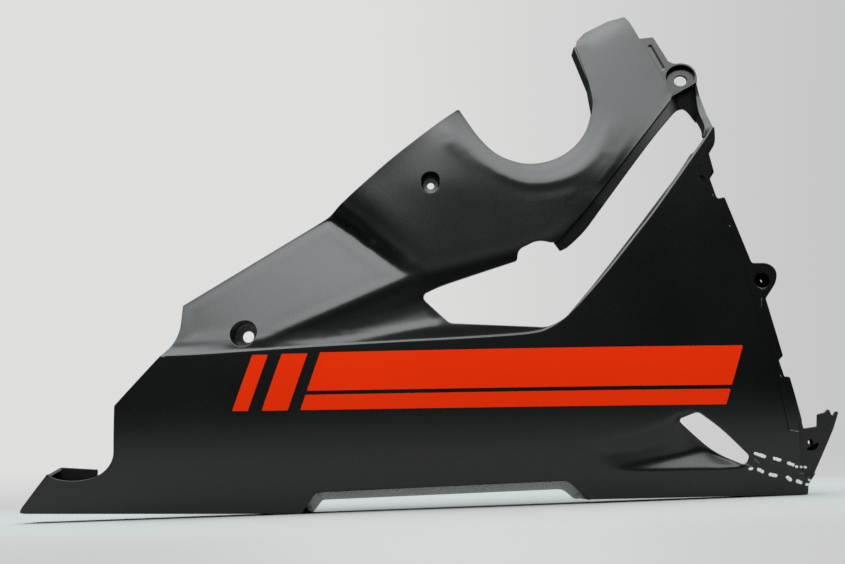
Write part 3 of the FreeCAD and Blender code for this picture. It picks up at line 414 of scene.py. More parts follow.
def behind(fn, d, h=0.8):
    """The face d behind another, square to it."""
    def out(x, z):
        a, b = slope(fn, x, z, h)
        return fn(x, z) + d * np.minimum(np.sqrt(1 + a * a + b * b), 1.9)
    return out


def inner_face(x, z):
    s = crease(x, z)
    y = behind(plain, WALL, 1.5)(x, z) + 0.6 * LIP * step(-2.0, 4.0, s) * (1 - step(4.0, 14.0, s))
    scoop = lift(dip(x, z) - 0.35, 1.2)
    edge = step(84.0, 92.0, x) * step(276.0, 271.0, x) * step(-266.0, -261.0, z) * step(-200.0, -205.0, z)
    y = y + scoop * edge
    return y + WALL * step(-0.5, 1.5, polygon_depth(x, z, BRACKET))


def tab_face(x, z):
    """Set-back plane of the tab and lug beside the arm."""
    return 38.3 - 0.204 * (x - 230.6) + 0.208 * (z - 89.6)


def tab_front(x, z):
    (ax, az), (bx, bz) = GROOVE
    t = np.clip(((x - ax) * (bx - ax) + (z - az) * (bz - az)) / ((bx - ax) ** 2 + (bz - az) ** 2), 0.0, 1.0)
    d = np.hypot(x - ax - t * (bx - ax), z - az - t * (bz - az))
    return tab_face(x, z) + TAB_STEP + 0.7 * step(2.6, 0.2, d)


arm_edge = smooth(ARM_EDGE, 4.0)


def ledge_face(x, z):
    """Plane that carries on from the arm's lower edge."""
    best, y = np.full(np.shape(x), 1e9), np.zeros(np.shape(x))
    for (ax, az, ay), (bx, bz, by) in zip(arm_edge[:-1], arm_edge[1:]):
        dx, dz = bx - ax, bz - az
        t = np.clip(((x - ax) * dx + (z - az) * dz) / (dx * dx + dz * dz), 0.0, 1.0)
        d = np.hypot(x - ax - t * dx, z - az - t * dz)
        y = np.where(d < best, ay + t * (by - ay), y)
        best = np.minimum(best, d)
    return y + 0.01 * best + 0.022 * np.maximum(x - 224.0, 0.0) ** 2


# ---------------------------------------------------------------- mesh building
class Mesh:
    def __init__(self):
        self.v, self.n, self.f, self.count = [], [], [], 0

    def add(self, v, n):
        base = self.count
        self.v.append(np.asarray(v, float).reshape(-1, 3))
        self.n.append(np.asarray(n, float).reshape(-1, 3))
        self.count += len(self.v[-1])
        return base

    def build(self, name):
        v, n = np.vstack(self.v), np.vstack(self.n)
        n = n / np.maximum(np.linalg.norm(n, axis=1, keepdims=True), 1e-9)
        me = bpy.data.meshes.new(name)
        me.from_pydata(((v - ORIGIN) / 1000.0).tolist(), [], self.f)
        me.validate()
        me.shade_smooth()
        me.normals_split_custom_set_from_vertices(n.tolist())
        ob = bpy.data.objects.new(name, me)
        bpy.context.scene.collection.objects.link(ob)
        return ob


def ring(poly, stride, rmin=0.0):
    """Points round a polygon with rounded corners, turning left."""
    poly = [tuple(p) if len(p) == 3 else (p[0], p[1], rmin) for p in poly]
    out, n = [], len(poly)
    ends, arcs = [], []
    for i in range(n):
        p, (x, z, r), q = poly[i - 1], poly[i], poly[(i + 1) % n]
        a, b = np.array((p[0] - x, p[1] - z)), np.array((q[0] - x, q[1] - z))
        la, lb = np.linalg.norm(a), np.linalg.norm(b)
        a, b = a / la, b / lb
        th = math.acos(max(-1.0, min(1.0, float(a @ b))))
        c = np.array((x, z))
        if math.pi - th < 2e-3 or r == 0:
            ends.append((c, c))
            arcs.append([c])
            continue
        cot = 1.0 / math.tan(th / 2)
        d = 0.48 * min(la, lb) if r == A else min(r * cot, 0.48 * min(la, lb))
        rr = d / cot
        m = (a + b) / np.linalg.norm(a + b)
        o = c + m * rr / math.sin(th / 2)
        s, e = c + a * d, c + b * d
        t0, t1 = math.atan2(*(s - o)[::-1]), math.atan2(*(e - o)[::-1])
        dt = (t1 - t0 + math.pi) % (2 * math.pi) - math.pi
        k = max(2, int(math.ceil(abs(dt) / 0.32)), int(math.ceil(abs(dt) * rr / stride)))
        arcs.append([o + rr * np.array((math.cos(t0 + dt * j / k), math.sin(t0 + dt * j / k))) for j in range(k + 1)])
        ends.append((s, e))
    for i in range(n):
        out += arcs[i]
        a, b = arcs[i][-1], arcs[(i + 1) % n][0]
        d = np.linalg.norm(b - a)
        k = int(math.ceil(d / stride))
        out += [a + (b - a) * j / k for j in range(1, k)]
    keep = [p for i, p in enumerate(out) if np.linalg.norm(p - out[i - 1]) > 1e-4]
    p = np.array(keep)
    q = np.roll(p, -1, 0)
    return p if (p[:, 0] * q[:, 1] - q[:, 0] * p[:, 1]).sum() > 0 else p[::-1]


def circle(x, z, r, n):
    t = np.arange(n) * 2 * math.pi / n
    return np.column_stack((x + r * np.cos(t), z + r * np.sin(t)))


def outward(p):
    a, b = p - np.roll(p, 1, 0), np.roll(p, -1, 0) - p
    a, b = a / np.linalg.norm(a, axis=1, keepdims=True), b / np.linalg.norm(b, axis=1, keepdims=True)
    n = np.column_stack((a[:, 1] + b[:, 1], -a[:, 0] - b[:, 0]))
    return n / np.maximum(np.linalg.norm(n, axis=1, keepdims=True), 1e-9)


def inside(loops, p):
    c = np.zeros(len(p), bool)
    for loop in loops:
        for (ax, az), (bx, bz) in zip(loop, np.roll(loop, -1, 0)):
            m = (az > p[:, 1]) != (bz > p[:, 1])
            if m.any():
                c[m] ^= p[m, 0] < ax + (p[m, 1] - az) * (bx - ax) / (bz - az)
    return c


def clear(loops, p, d):
    q = np.vstack(loops)
    keep = np.zeros(len(p), bool)
    for i in range(0, len(p), 1500):
        c = p[i:i + 1500]
        keep[i:i + 1500] = ((c[:, None] - q[None]) ** 2).sum(2).min(1) > d * d
    return keep


def lattice(loops, a):
    q = np.vstack(loops)
    lo, hi = q.min(0), q.max(0)
    rows = []
    for k, z in enumerate(np.arange(lo[1], hi[1], a * 0.866)):
        x = np.arange(lo[0] + (0.5 * a if k % 2 else 0.0), hi[0], a)
        rows.append(np.column_stack((x, np.full(len(x), z))))
    return np.vstack(rows) if rows else np.zeros((0, 2))


def sheet(loops, pts):
    """Triangles that fill the loops, with the points inside as corners."""
    verts, edges = [], []
    for loop in loops:
        b, n = len(verts), len(loop)
        verts += [Vector((float(p[0]), float(p[1]))) for p in loop]
        edges += [(b + i, b + (i + 1) % n) for i in range(n)]
    verts += [Vector((float(p[0]), float(p[1]))) for p in pts]
    co, _, faces, orig, _, _ = delaunay_2d_cdt(verts, edges, [], 0, 1e-5)
    flat = np.array([tuple(c) for c in co])
    mids = np.array([flat[list(f)].mean(0) for f in faces])
    faces = [f for f, ok in zip(faces, inside(loops, mids)) if ok]
    back = {}
    for i, src in enumerate(orig):
        for k in src:
            back[k] = i
    rings, b = [], 0
    for loop in loops:
        rings.append([back[b + i] for i in range(len(loop))])
        b += len(loop)
    return np.array([tuple(c) for c in co]), [list(f) for f in faces], rings


def slab(mesh, loops, front, back, r=0.7, rb=0.4, grid=4.0, back_grid=None, extra=None, drop=None, place=None):
    """A closed plate between two faces, its edges rounded. loops[0] is its border, the others its holes."""
    loops = [loops[0]] + [q[::-1] for q in loops[1:]]
    place = place or (lambda u, v, w: np.column_stack((u, w, v)))

    def put(u, v, w, nu, nv, nw):
        n = np.column_stack((nu, nv, nw))
        p = place(u, v, w)
        e = 1e-3
        m = place(u + e * n[:, 0], v + e * n[:, 1], w + e * n[:, 2]) - p
        return mesh.add(p, m)

    outs = [outward(q) for q in loops]

    def half(fn, inset, spacing, more, sgn):
        bounds = [q - o * inset for q, o in zip(loops, outs)]
        pts = np.zeros((0, 2))
        if spacing:
            pts = lattice(bounds, spacing)
            pts = pts[inside(bounds, pts)]
            if drop is not None:
                pts = pts[~drop(pts)]
            pts = pts[clear(bounds, pts, 0.55 * spacing)] if len(pts) else pts
        if more is not None and len(more):
            m = more[inside(bounds, more)]
            pts = np.vstack((pts, m[clear(bounds, m, 0.45)]))
        co, faces, rings = sheet(bounds, pts)
        a, b = slope(fn, co[:, 0], co[:, 1])
        base = put(co[:, 0], co[:, 1], fn(co[:, 0], co[:, 1]), -sgn * a, -sgn * b, np.full(len(co), sgn * 1.0))
        for f in faces:
            mesh.f.append([base + i for i in (f if sgn < 0 else f[::-1])])
        return bounds, [[base + i for i in q] for q in rings], (co, faces)

    _, front_rings, _ = half(front, r, grid, extra, -1.0)
    _, back_rings, _ = half(back, rb, back_grid or grid, None, 1.0)
    for q, o, fr, br in zip(loops, outs, front_rings, back_rings):
        rows = [fr]
        for th in (30, 60, 90):
            c, s = math.cos(math.radians(th)), math.sin(math.radians(th))
            p = q - o * r * (1 - s)
            a, b = slope(front, p[:, 0], p[:, 1])
            k = np.sqrt(1 + a * a + b * b)
            nu, nv, nw = c * a / k + s * o[:, 0], c * b / k + s * o[:, 1], -c / k
            base = put(p[:, 0], p[:, 1], front(p[:, 0], p[:, 1]) + r * (1 - c), nu, nv, nw)
            rows.append(list(range(base, base + len(q))))
        for th in (90, 45):
            c, s = math.cos(math.radians(th)), math.sin(math.radians(th))
            p = q - o * rb * (1 - s)
            a, b = slope(back, p[:, 0], p[:, 1])
            k = np.sqrt(1 + a * a + b * b)
            nu, nv, nw = -c * a / k + s * o[:, 0], -c * b / k + s * o[:, 1], c / k
            base = put(p[:, 0], p[:, 1], back(p[:, 0], p[:, 1]) - rb * (1 - c), nu, nv, nw)
            rows.append(list(range(base, base + len(q))))
        rows.append(br)
        n = len(q)
        for a, b in zip(rows[:-1], rows[1:]):
            for i in range(n):
                j = (i + 1) % n
                mesh.f.append([a[j], a[i], b[i], b[j]])


def lathe(mesh, cx, cz, profile, n=56, top=None):
    """A turned ring about a line along the depth. profile holds (radius, depth, normal out, normal in depth)."""
    t = np.arange(n) * 2 * math.pi / n
    rows = []
    for r, y, nr, ny in profile:
        x, z = cx + r * np.cos(t), cz + r * np.sin(t)
        d = np.full(n, float(y)) if not callable(y) else y(x, z)
        base = mesh.add(np.column_stack((x, d, z)), np.column_stack((nr * np.cos(t), np.full(n, ny), nr * np.sin(t))))
        rows.append(base)
    m = len(rows)
    for k in range(m):
        a, b = rows[k], rows[(k + 1) % m]
        for i in range(n):
            j = (i + 1) % n
            mesh.f.append([a + i, a + j, b + j, b + i])


def rounded(profile, r, n=4):
    """A closed turned profile with its corners rounded and normals worked out."""
    out, m = [], len(profile)
    for i in range(m):
        p, c, q = profile[i - 1], profile[i], profile[(i + 1) % m]
        if callable(p[1]) or callable(c[1]) or callable(q[1]):
            out.append(c)
            continue
        a, b = np.subtract(p[:2], c[:2]), np.subtract(q[:2], c[:2])
        la, lb = np.linalg.norm(a), np.linalg.norm(b)
        a, b = a / la, b / lb
        d = min(r, 0.45 * la, 0.45 * lb)
        na, nb = np.array((-a[1], a[0])), np.array((b[1], -b[0]))
        s, e, o = np.array(c[:2]) + a * d, np.array(c[:2]) + b * d, np.array(c[:2])
        for j in range(n + 1):
            t = j / n
            pt = (1 - t) ** 2 * s + 2 * t * (1 - t) * o + t * t * e
            nn = (1 - t) * na + t * nb
            out.append((pt[0], pt[1], nn[0], nn[1]))
    return out


# ---------------------------------------------------------------- moulded panel
panel = Mesh()
rows = []
cl = np.array(smooth(CREASE, 1.6))
cd = np.gradient(cl, axis=0)
cn = np.column_stack((-cd[:, 1], cd[:, 0])) / np.linalg.norm(cd, axis=1, keepdims=True)
for off in (-2.2, -1.1, -0.45, 0.0, 0.4, 0.8, 1.2, 1.7, 2.6, 3.9):
    rows.append(cl + cn * off)
inner_edge = np.array(dense(FRONT_BAND[:8], 1.8))
ed = np.gradient(inner_edge, axis=0)
en = np.column_stack((ed[:, 1], -ed[:, 0])) / np.linalg.norm(ed, axis=1, keepdims=True)
for off in (-1.3, -0.4, -0.05, 0.35, 0.9):
    rows.append(inner_edge + en * -off)
left_edge = np.array(dense([(313.6, -222.0), (313.4, -258.0), (320.0, -268.0)], 1.2))
ed = np.gradient(left_edge, axis=0)
en = np.column_stack((-ed[:, 1], ed[:, 0])) / np.linalg.norm(ed, axis=1, keepdims=True)
for off in (-0.9, -0.3, 0.05, 0.4, 1.0):
    rows.append(left_edge + en * off)
for r in (6.4, 6.7, 7.0, 7.3):
    rows.append(circle(BUSH[0], BUSH[1], r, 48))
near = np.vstack(rows)


def close_to_rows(p):
    s = np.abs(crease(p[:, 0], p[:, 1]))
    on = (p[:, 0] > -245) & (p[:, 0] < 262)
    b = np.abs(polygon_depth(p[:, 0], p[:, 1], FRONT_BAND)) < 1.8
    c = np.abs(polygon_depth(p[:, 0], p[:, 1], BRACKET)) < 1.6
    d = np.abs(np.hypot(p[:, 0] - BUSH[0], p[:, 1] - BUSH[1]) - 6.8) < 1.3
    return ((s < 4.6) & on) | b | c | d


border = ring(OUTLINE, 2.0)
holes = [ring(SLOT, 1.6), ring(CUP_A_MOUTH, 0.9),
         circle(CUP_B[0], CUP_B[1], CUP_B_R, 64), circle(BUSH[0], BUSH[1], BUSH_R, 36), circle(BOSS[0], BOSS[1], 2.4, 24)]
slab(panel, [border] + holes, face, inner_face, r=0.8, rb=0.5, grid=2.1, back_grid=4.5, extra=near, drop=close_to_rows)


def cup(at, mouth, shell, seat_r, hole, deep):
    """Round screw cup: wall, shoulder, seat and hole."""
    cx, cz, seat = at
    flat = lambda y: (lambda x, z: np.full(np.shape(x), y))
    slab(panel, [shell, mouth], lambda x, z: face(x, z) + 1.1, flat(seat + CUP_WALL), r=0.15, rb=0.6, grid=None)
    slab(panel, [mouth + outward(mouth) * 0.3, circle(cx, cz, seat_r, 56)], flat(seat - deep), flat(seat + 1.2), r=0.5,
         rb=0.2, grid=None)
    slab(panel, [circle(cx, cz, seat_r + 0.4, 56), circle(cx, cz, hole, 44)], flat(seat), flat(seat + CUP_WALL), r=0.4,
         rb=0.2, grid=None)


cup(CUP_A, ring(CUP_A_MOUTH, 0.9), ring(CUP_A_SHELL, 0.9), CUP_A_SEAT_R, CUP_A_HOLE_R, CUP_A_STEP)
cup(CUP_B, circle(CUP_B[0], CUP_B[1], CUP_B_R - 0.03, 64), circle(CUP_B[0], CUP_B[1], CUP_B_R + CUP_WALL, 64), CUP_B_SEAT_R,
    CUP_B_HOLE_R, CUP_B_STEP)

# top tab, lug, ledge and rim along the window
over = lambda fn, d: (lambda x, z: fn(x, z) + d)
slab(panel, [ring(TAB, 1.5), circle(LUG_C[0], LUG_C[1], LUG_R, 64)], tab_front, over(tab_face, TAB_STEP + WALL),
     r=0.5, grid=0.9, back_grid=3.0)
slab(panel, [circle(LUG_C[0], LUG_C[1], LUG_R + 1.5, 64), circle(LUG_C[0], LUG_C[1], LUG_R + 0.05, 64)],
     over(tab_face, TAB_STEP + 1.0), over(tab_face, LUG_DEEP + WALL), r=0.2, rb=0.4, grid=None)
slab(panel, [circle(LUG_C[0], LUG_C[1], LUG_R + 0.9, 64), circle(LUG_HOLE[0], LUG_HOLE[1], LUG_HOLE_R, 44)],
     over(tab_face, LUG_DEEP), over(tab_face, LUG_DEEP + WALL), r=0.4, grid=2.5)
slab(panel, [ring(LEDGE, 1.8)], over(ledge_face, LEDGE_STEP), over(ledge_face, LEDGE_STEP + WALL), r=0.5, grid=2.0)
slab(panel, [ring(RIM, 2.0, 0.8)], behind(plain, EMBED), over(ledge_face, LEDGE_STEP + WALL - 0.4), r=0.3, grid=None)

# web and rib below the lug
slab(panel, [ring(WEB, 1.5)], lambda x, z: np.full(np.shape(x), WEB_Y), lambda x, z: np.full(np.shape(x), WEB_Y + WALL),
     r=0.6, grid=2.5)
rib_fall = np.array(smooth(RIB_FALL, 1.0))
rib_front = lambda x, z: np.interp(z, rib_fall[:, 0], rib_fall[:, 1]) + 0.0 * x
slab(panel, [ring(RIB, 1.2)], rib_front,
     lambda x, z: np.maximum(WEB_Y + WALL - 27.0 * np.clip((68.0 - z) / 26.0, 0.0, 1.4), rib_front(x, z) + 2.5), r=0.5, grid=1.1)

# side return of the arm
slab(panel, [ring(SIDE_BAND, 2.0, 1.0)], lambda x, z: plain(x, z) + EMBED,
     lambda x, z: np.maximum(46.0 + 0.33 * (z - 55.0), plain(x, z) + 2.5), r=0.4, grid=None)


# bottom return and tail box
def strip(a, b, t0, t1, e0=0.0, e1=0.0):
    d = math.hypot(b[0] - a[0], b[1] - a[1])
    ux, uz = (b[0] - a[0]) / d, (b[1] - a[1]) / d
    nx, nz = -uz, ux
    p = (a[0] + ux * e0, a[1] + uz * e0)
    q = (b[0] - ux * e1, b[1] - uz * e1)
    return [(p[0] + nx * t0, p[1] + nz * t0), (q[0] + nx * t0, q[1] + nz * t0), (q[0] + nx * t1, q[1] + nz * t1),
            (p[0] + nx * t1, p[1] + nz * t1)]


left = strip((-375.7, -282.0), (-120.5, -287.5), 0.3, 0.3 + FLANGE_Z, 2.6, 2.0)
right = strip((129.6, -281.1), (320.7, -281.9), 0.3, 0.3 + FLANGE_Z, 1.0, 2.0)
end = strip((-345.7, -247.7), (-375.7, -282.0), 0.4, 0.4 + FLANGE_Z, 1.6, 3.6)
inset = lambda x, z: low(x, z) + EMBED
flat_back = lambda y: (lambda x, z: np.full(np.shape(x), y))
slab(panel, [ring(left, 3.0, 0.9)], inset, flat_back(RETURN_Y), r=0.3, rb=0.7, grid=None)
slab(panel, [ring(end, 3.0, 0.9)], inset, flat_back(TAIL_Y + WALL), r=0.3, rb=0.7, grid=None)
slab(panel, [ring(right, 3.0, 0.9)], inset, flat_back(RETURN_Y), r=0.3, rb=0.7, grid=None)
NOTCH = [(-121.6, -287.6, 0.5), (-106.9, -268.6, 4.4), (111.5, -264.3, 10.5), (129.9, -280.8, 0.5),
         (131.5, -278.6, 0.5), (112.6, -261.3, 12.0), (-108.6, -265.6, 6.0), (-123.6, -286.2, 0.5)]


def sloping(u, v, w):
    z = v - NOTCH_FALL * (w - 13.0)
    return np.column_stack((u, w, np.maximum(z, np.where(u < 0, -287.7, -281.6))))


slab(panel, [ring(NOTCH, 3.0)], lambda x, z: low(x, z - 1.0) + EMBED, flat_back(RETURN_Y), r=0.3, rb=0.7, grid=None,
     place=sloping)
TAIL_BACK = [(-366.5, -281.4), (-339.6, -242.3), (-307.0, -244.9), (-307.0, -281.6)]
slab(panel, [ring(TAIL_BACK, 3.0, 1.2)], flat_back(TAIL_Y), flat_back(TAIL_Y + WALL), r=0.5, grid=6.0)
TAIL_END = [(-14.0, 30.0), (-1.0, 25.6), (7.4, TAIL_Y), (7.4, TAIL_Y + WALL), (-14.0, TAIL_Y + WALL)]
slab(panel, [ring(TAIL_END, 2.0, 0.6)], flat_back(0.45), flat_back(3.35), r=0.4, rb=0.4, grid=None,
     place=lambda u, v, w: np.column_stack((-345.7 + 0.6587 * u + 0.7524 * w, v, -247.7 + 0.7524 * u - 0.6587 * w)))

# boss behind the bracket, seat behind the front lug
lathe(panel, BOSS[0], BOSS[1], rounded([(2.4, 26.4), (2.4, 36.0), (7.2, 36.0), (7.2, 26.4)], 0.6), 36)
lathe(panel, BUSH[0], BUSH[1], rounded([(BUSH_R, 13.6), (BUSH_R, 19.0), (9.0, 19.0), (9.0, 13.6)], 0.5), 40)

panel_ob = panel.build("lower_fairing_panel")
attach(panel_ob, "root")
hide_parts("fairing_panel")

# ---------------------------------------------------------------- printed film
film = Mesh()


def clip(poly, a, b, keep):
    """Part of a convex polygon on one side of the line a-b."""
    out = []
    f = lambda p: keep * ((b[0] - a[0]) * (p[1] - a[1]) - (b[1] - a[1]) * (p[0] - a[0]))
    for p, q in zip(poly, poly[1:] + poly[:1]):
        fp, fq = f(p), f(q)
        if fp >= 0:
            out.append(p)
        if fp * fq < 0:
            k = fp / (fp - fq)
            out.append((p[0] + (q[0] - p[0]) * k, p[1] + (q[1] - p[1]) * k))
    return out


shapes = [clip(BAND[0], PIN[0], PIN[1], -1.0), clip(BAND[0], PIN[3], PIN[2], 1.0), BAND[1], BAND[2]]
for q in shapes:
    slab(film, [ring(q, 4.0, 0.8)], lambda x, z: low(x, z) - FILM, lambda x, z: low(x, z) + 0.05, r=0.12, rb=0.03,
         grid=7.0)
film_ob = film.build("stripe_film_print")
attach(film_ob, "root")
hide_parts("stripe_film")

# ---------------------------------------------------------------- rubber bush
bush = Mesh()
y0 = BUSH[2]
lathe(bush, BUSH[0], BUSH[1], rounded(
    [(BUSH_HOLE_R, y0 - 1.2), (BUSH_HOLE_R, y0 + 8.6), (5.0, y0 + 8.6), (6.0, y0 + 7.4), (6.0, y0 + 6.2),
     (BUSH_R, y0 + 6.2), (BUSH_R, y0), (6.3, y0), (6.3, y0 - 0.6), (5.6, y0 - 1.2)], 0.35), 48)
bush_ob = bush.build("front_bush_rubber")
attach(bush_ob, "root")
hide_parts("front_bush")


# ---------------------------------------------------------------- materials
class Nodes:
    def __init__(self, name):
        self.mat = bpy.data.materials.new(name)
        self.mat.use_nodes = True
        self.t = self.mat.node_tree
        self.t.nodes.clear()
        self.out = self.t.nodes.new("ShaderNodeOutputMaterial")
        self.bsdf = self.t.nodes.new("ShaderNodeBsdfPrincipled")
        self.t.links.new(self.bsdf.outputs[0], self.out.inputs[0])

    def link(self, a, b):
        self.t.links.new(a, b)

    def new(self, kind, **props):
        n = self.t.nodes.new(kind)
        for k, v in props.items():
            setattr(n, k, v)
        return n

    def put(self, node, index, value):
        if hasattr(value, "is_linked") or hasattr(value, "links"):
            self.link(value, node.inputs[index])
        else:
            node.inputs[index].default_value = value

    def math(self, op, a, b=0.0, c=0.0, clamp=False):
        n = self.new("ShaderNodeMath", operation=op, use_clamp=clamp)
        for i, v in enumerate((a, b, c)):
            self.put(n, i, v)
        return n.outputs[0]

    def vmath(self, op, a, b=(0, 0, 0), out=0):
        n = self.new("ShaderNodeVectorMath", operation=op)
        self.put(n, 0, a)
        self.put(n, 1, b)
        return n.outputs[out]

    def place(self):
        return self.new("ShaderNodeTexCoord").outputs["Object"]

    def noise(self, co, scale, detail=2.0, rough=0.5):
        n = self.new("ShaderNodeTexNoise")
        self.link(co, n.inputs["Vector"])
        n.inputs["Scale"].default_value = scale
        n.inputs["Detail"].default_value = detail
        n.inputs["Roughness"].default_value = rough
        return n.outputs["Fac"]

    def range(self, v, a, b, c, d, smooth=False):
        n = self.new("ShaderNodeMapRange", interpolation_type="SMOOTHSTEP" if smooth else "LINEAR")
        for i, q in enumerate((v, a, b, c, d)):
            self.put(n, i, q)
        return n.outputs[0]

    def mix(self, f, a, b):
        n = self.new("ShaderNodeMix", data_type="RGBA")
        self.put(n, 0, f)
        for i, q in ((6, a), (7, b)):
            self.put(n, i, q if not isinstance(q, tuple) or len(q) == 4 else (*q, 1.0))
        return n.outputs[2]

    def blendf(self, f, a, b):
        n = self.new("ShaderNodeMix", data_type="FLOAT")
        self.put(n, 0, f)
        self.put(n, 2, a)
        self.put(n, 3, b)
        return n.outputs[0]

    def bump(self, height, strength, distance):
        n = self.new("ShaderNodeBump")
        n.inputs["Strength"].default_value = strength
        n.inputs["Distance"].default_value = distance
        self.link(height, n.inputs["Height"])
        self.link(n.outputs[0], self.bsdf.inputs["Normal"])


def at(x, z):
    return ((x - ORIGIN[0]) / 1000.0, 0.0, (z - ORIGIN[2]) / 1000.0)


def strokes(m, flat, segs, cut=False):
    """Distance to the nearest of some short lines drawn on the face, less each one's half width."""
    best = None
    for (ax, az), (bx, bz), w in segs:
        a, b = Vector(at(ax, az)), Vector(at(bx, bz))
        ba = b - a
        if cut:
            k = min(0.45 * w / 1000.0, 0.3 * ba.length)
            a, b = a + ba.normalized() * k, b - ba.normalized() * k
            ba = b - a
        pa = m.vmath("SUBTRACT", flat, tuple(a))
        h = m.math("DIVIDE", m.vmath("DOT_PRODUCT", pa, tuple(ba), 1), max(ba.length_squared, 1e-12), clamp=True)
        sc = m.new("ShaderNodeVectorMath", operation="SCALE")
        sc.inputs[0].default_value = tuple(ba)
        m.link(h, sc.inputs["Scale"])
        d = m.vmath("DISTANCE", pa, sc.outputs[0], 1)
        d = m.math("SUBTRACT", d, w / 2000.0)
        best = d if best is None else m.math("MINIMUM", best, d)
    return best


MARKS = [   # white paint-pen dashes on the lower front corner
    ((273.0, -245.4), (283.1, -248.8), 2.7), ((289.5, -249.8), (296.5, -252.2), 2.6), ((302.0, -254.1), (308.1, -256.5), 2.5),
    ((309.0, -257.5), (311.3, -258.1), 1.8), ((313.2, -258.0), (316.4, -258.2), 2.0), ((317.8, -257.7), (320.2, -259.1), 1.8),
    ((268.1, -258.7), (271.8, -258.3), 2.2), ((275.5, -258.8), (281.1, -261.7), 2.8), ((285.6, -263.6), (293.0, -265.1), 2.9),
    ((301.0, -265.8), (305.6, -269.5), 3.0), ((309.8, -269.6), (315.0, -271.9), 2.8), ((318.2, -272.9), (320.6, -273.4), 2.0),
    ((321.1, -269.4), (322.5, -269.9), 1.4)]
SCRATCHES = [
    ((273.2, -250.2), (277.0, -253.9), 0.7), ((265.6, -254.4), (270.4, -256.7), 1.0), ((313.6, -263.6), (316.3, -263.7), 0.7),
    ((253.1, -16.1), (253.5, -17.0), 0.9), ((265.9, -45.0), (266.3, -45.8), 0.9), ((288.7, -111.6), (288.0, -119.6), 0.5),
    ((299.6, -179.4), (300.0, -180.6), 0.9)]
BOSS_CRESCENT = [((317.5, -242.1), (321.1, -240.1), 1.2), ((321.1, -240.1), (324.3, -235.9), 1.1), ((324.3, -235.9), (325.0, -231.2), 0.8)]

m = Nodes("panel_paint")
co = m.place()
sep = m.new("ShaderNodeSeparateXYZ")
m.link(co, sep.inputs[0])
flat = m.vmath("MULTIPLY", co, (1.0, 0.0, 1.0))
grain = m.noise(co, 2600.0, 2.0)
cloud = m.noise(co, 14.0, 3.0)
fine = m.noise(co, 420.0, 2.0)
facing = m.new("ShaderNodeSeparateXYZ")
m.link(m.new("ShaderNodeNewGeometry").outputs["Normal"], facing.inputs[0])
outer = m.range(facing.outputs[1], -0.25, -0.45, 0.0, 1.0)
base = m.mix(m.range(cloud, 0.35, 0.65, 0.0, 1.0), (0.0030, 0.0034, 0.0035, 1), (0.0037, 0.0041, 0.0042, 1))
rough = m.math("ADD", m.range(cloud, 0.3, 0.7, 0.25, 0.29), m.range(fine, 0.3, 0.7, -0.02, 0.02))
# bare moulding of the front bracket
bare = m.math("MULTIPLY", m.range(sep.outputs[0], 0.3133, 0.3137, 0.0, 1.0), m.range(m.math(
    "ADD", sep.outputs[2], m.math("MULTIPLY", sep.outputs[0], 1.5)), 0.2068, 0.2076, 0.0, 1.0))
base = m.mix(bare, base, m.mix(m.noise(co, 230.0, 4.0), (0.0032, 0.0030, 0.0029, 1), (0.0066, 0.0060, 0.0055, 1)))
rough = m.blendf(bare, rough, 0.55)


# screw seats painted light grey: a painted highlight standing in for the light their floors catch
def seat(at, r, y):
    c = ((at[0] - ORIGIN[0]) / 1000.0, 0.0, (at[1] - ORIGIN[2]) / 1000.0)
    ring_in = m.range(m.vmath("DISTANCE", flat, c, 1), r / 1000.0, (r + 0.3) / 1000.0, 1.0, 0.0)
    deep = m.range(sep.outputs[1], (y - 0.5 - ORIGIN[1]) / 1000.0, (y - 0.3 - ORIGIN[1]) / 1000.0, 0.0, 1.0)
    return m.math("MULTIPLY", m.math("MULTIPLY", ring_in, deep), outer)


# painted highlight: the seat floors of both cups get a near-white colour in place of lit surfaces
seat_light_breakup = m.range(m.noise(co, 340.0, 3.0), 0.25, 0.75, 0.65, 1.0)
seat_painted_light = m.math("MULTIPLY", seat(CUP_A, CUP_A_SEAT_R, CUP_A[2]), seat_light_breakup)
base = m.mix(seat_painted_light, base, (0.80, 0.81, 0.81, 1))
seat_b_painted_light = m.math("MULTIPLY", seat(CUP_B, CUP_B_R, CUP_B[2] - CUP_B_STEP), seat_light_breakup)
base = m.mix(seat_b_painted_light, base, (0.74, 0.75, 0.75, 1))
rough = m.blendf(m.math("MAXIMUM", seat_painted_light, seat_b_painted_light), rough, 0.5)
# pen dashes, scratches and a near-black crescent round the bracket boss
torn = m.range(m.noise(co, 900.0, 3.0), 0.3, 0.7, -0.00035, 0.00035)
dash = m.math("MULTIPLY", m.range(m.math("ADD", strokes(m, flat, MARKS, True), torn), -0.0002, 0.0003, 1.0, 0.0, True), outer)
base = m.mix(dash, base, m.mix(m.noise(co, 700.0), (0.86, 0.87, 0.87, 1), (0.98, 0.98, 0.98, 1)))
mark = m.math("MULTIPLY", m.range(m.math("ADD", strokes(m, flat, SCRATCHES), torn), -0.0003, 0.0003, 1.0, 0.0, True), outer)
base = m.mix(m.math("MULTIPLY", mark, 0.6), base, (0.20, 0.20, 0.195, 1))
# near-black crescent drawn round the bracket boss
boss_crescent = m.math("MULTIPLY", m.range(strokes(m, flat, BOSS_CRESCENT), -0.0004, 0.0003, 1.0, 0.0, True), outer)
base = m.mix(m.math("MULTIPLY", boss_crescent, 0.75), base, (0.0012, 0.0011, 0.0011, 1))
rough = m.blendf(m.math("MAXIMUM", dash, mark), rough, 0.7)
m.link(base, m.bsdf.inputs["Base Color"])
m.link(rough, m.bsdf.inputs["Roughness"])
m.bsdf.inputs["IOR"].default_value = 1.52
m.bump(grain, 0.05, 0.0002)
panel_ob.data.materials.append(m.mat)

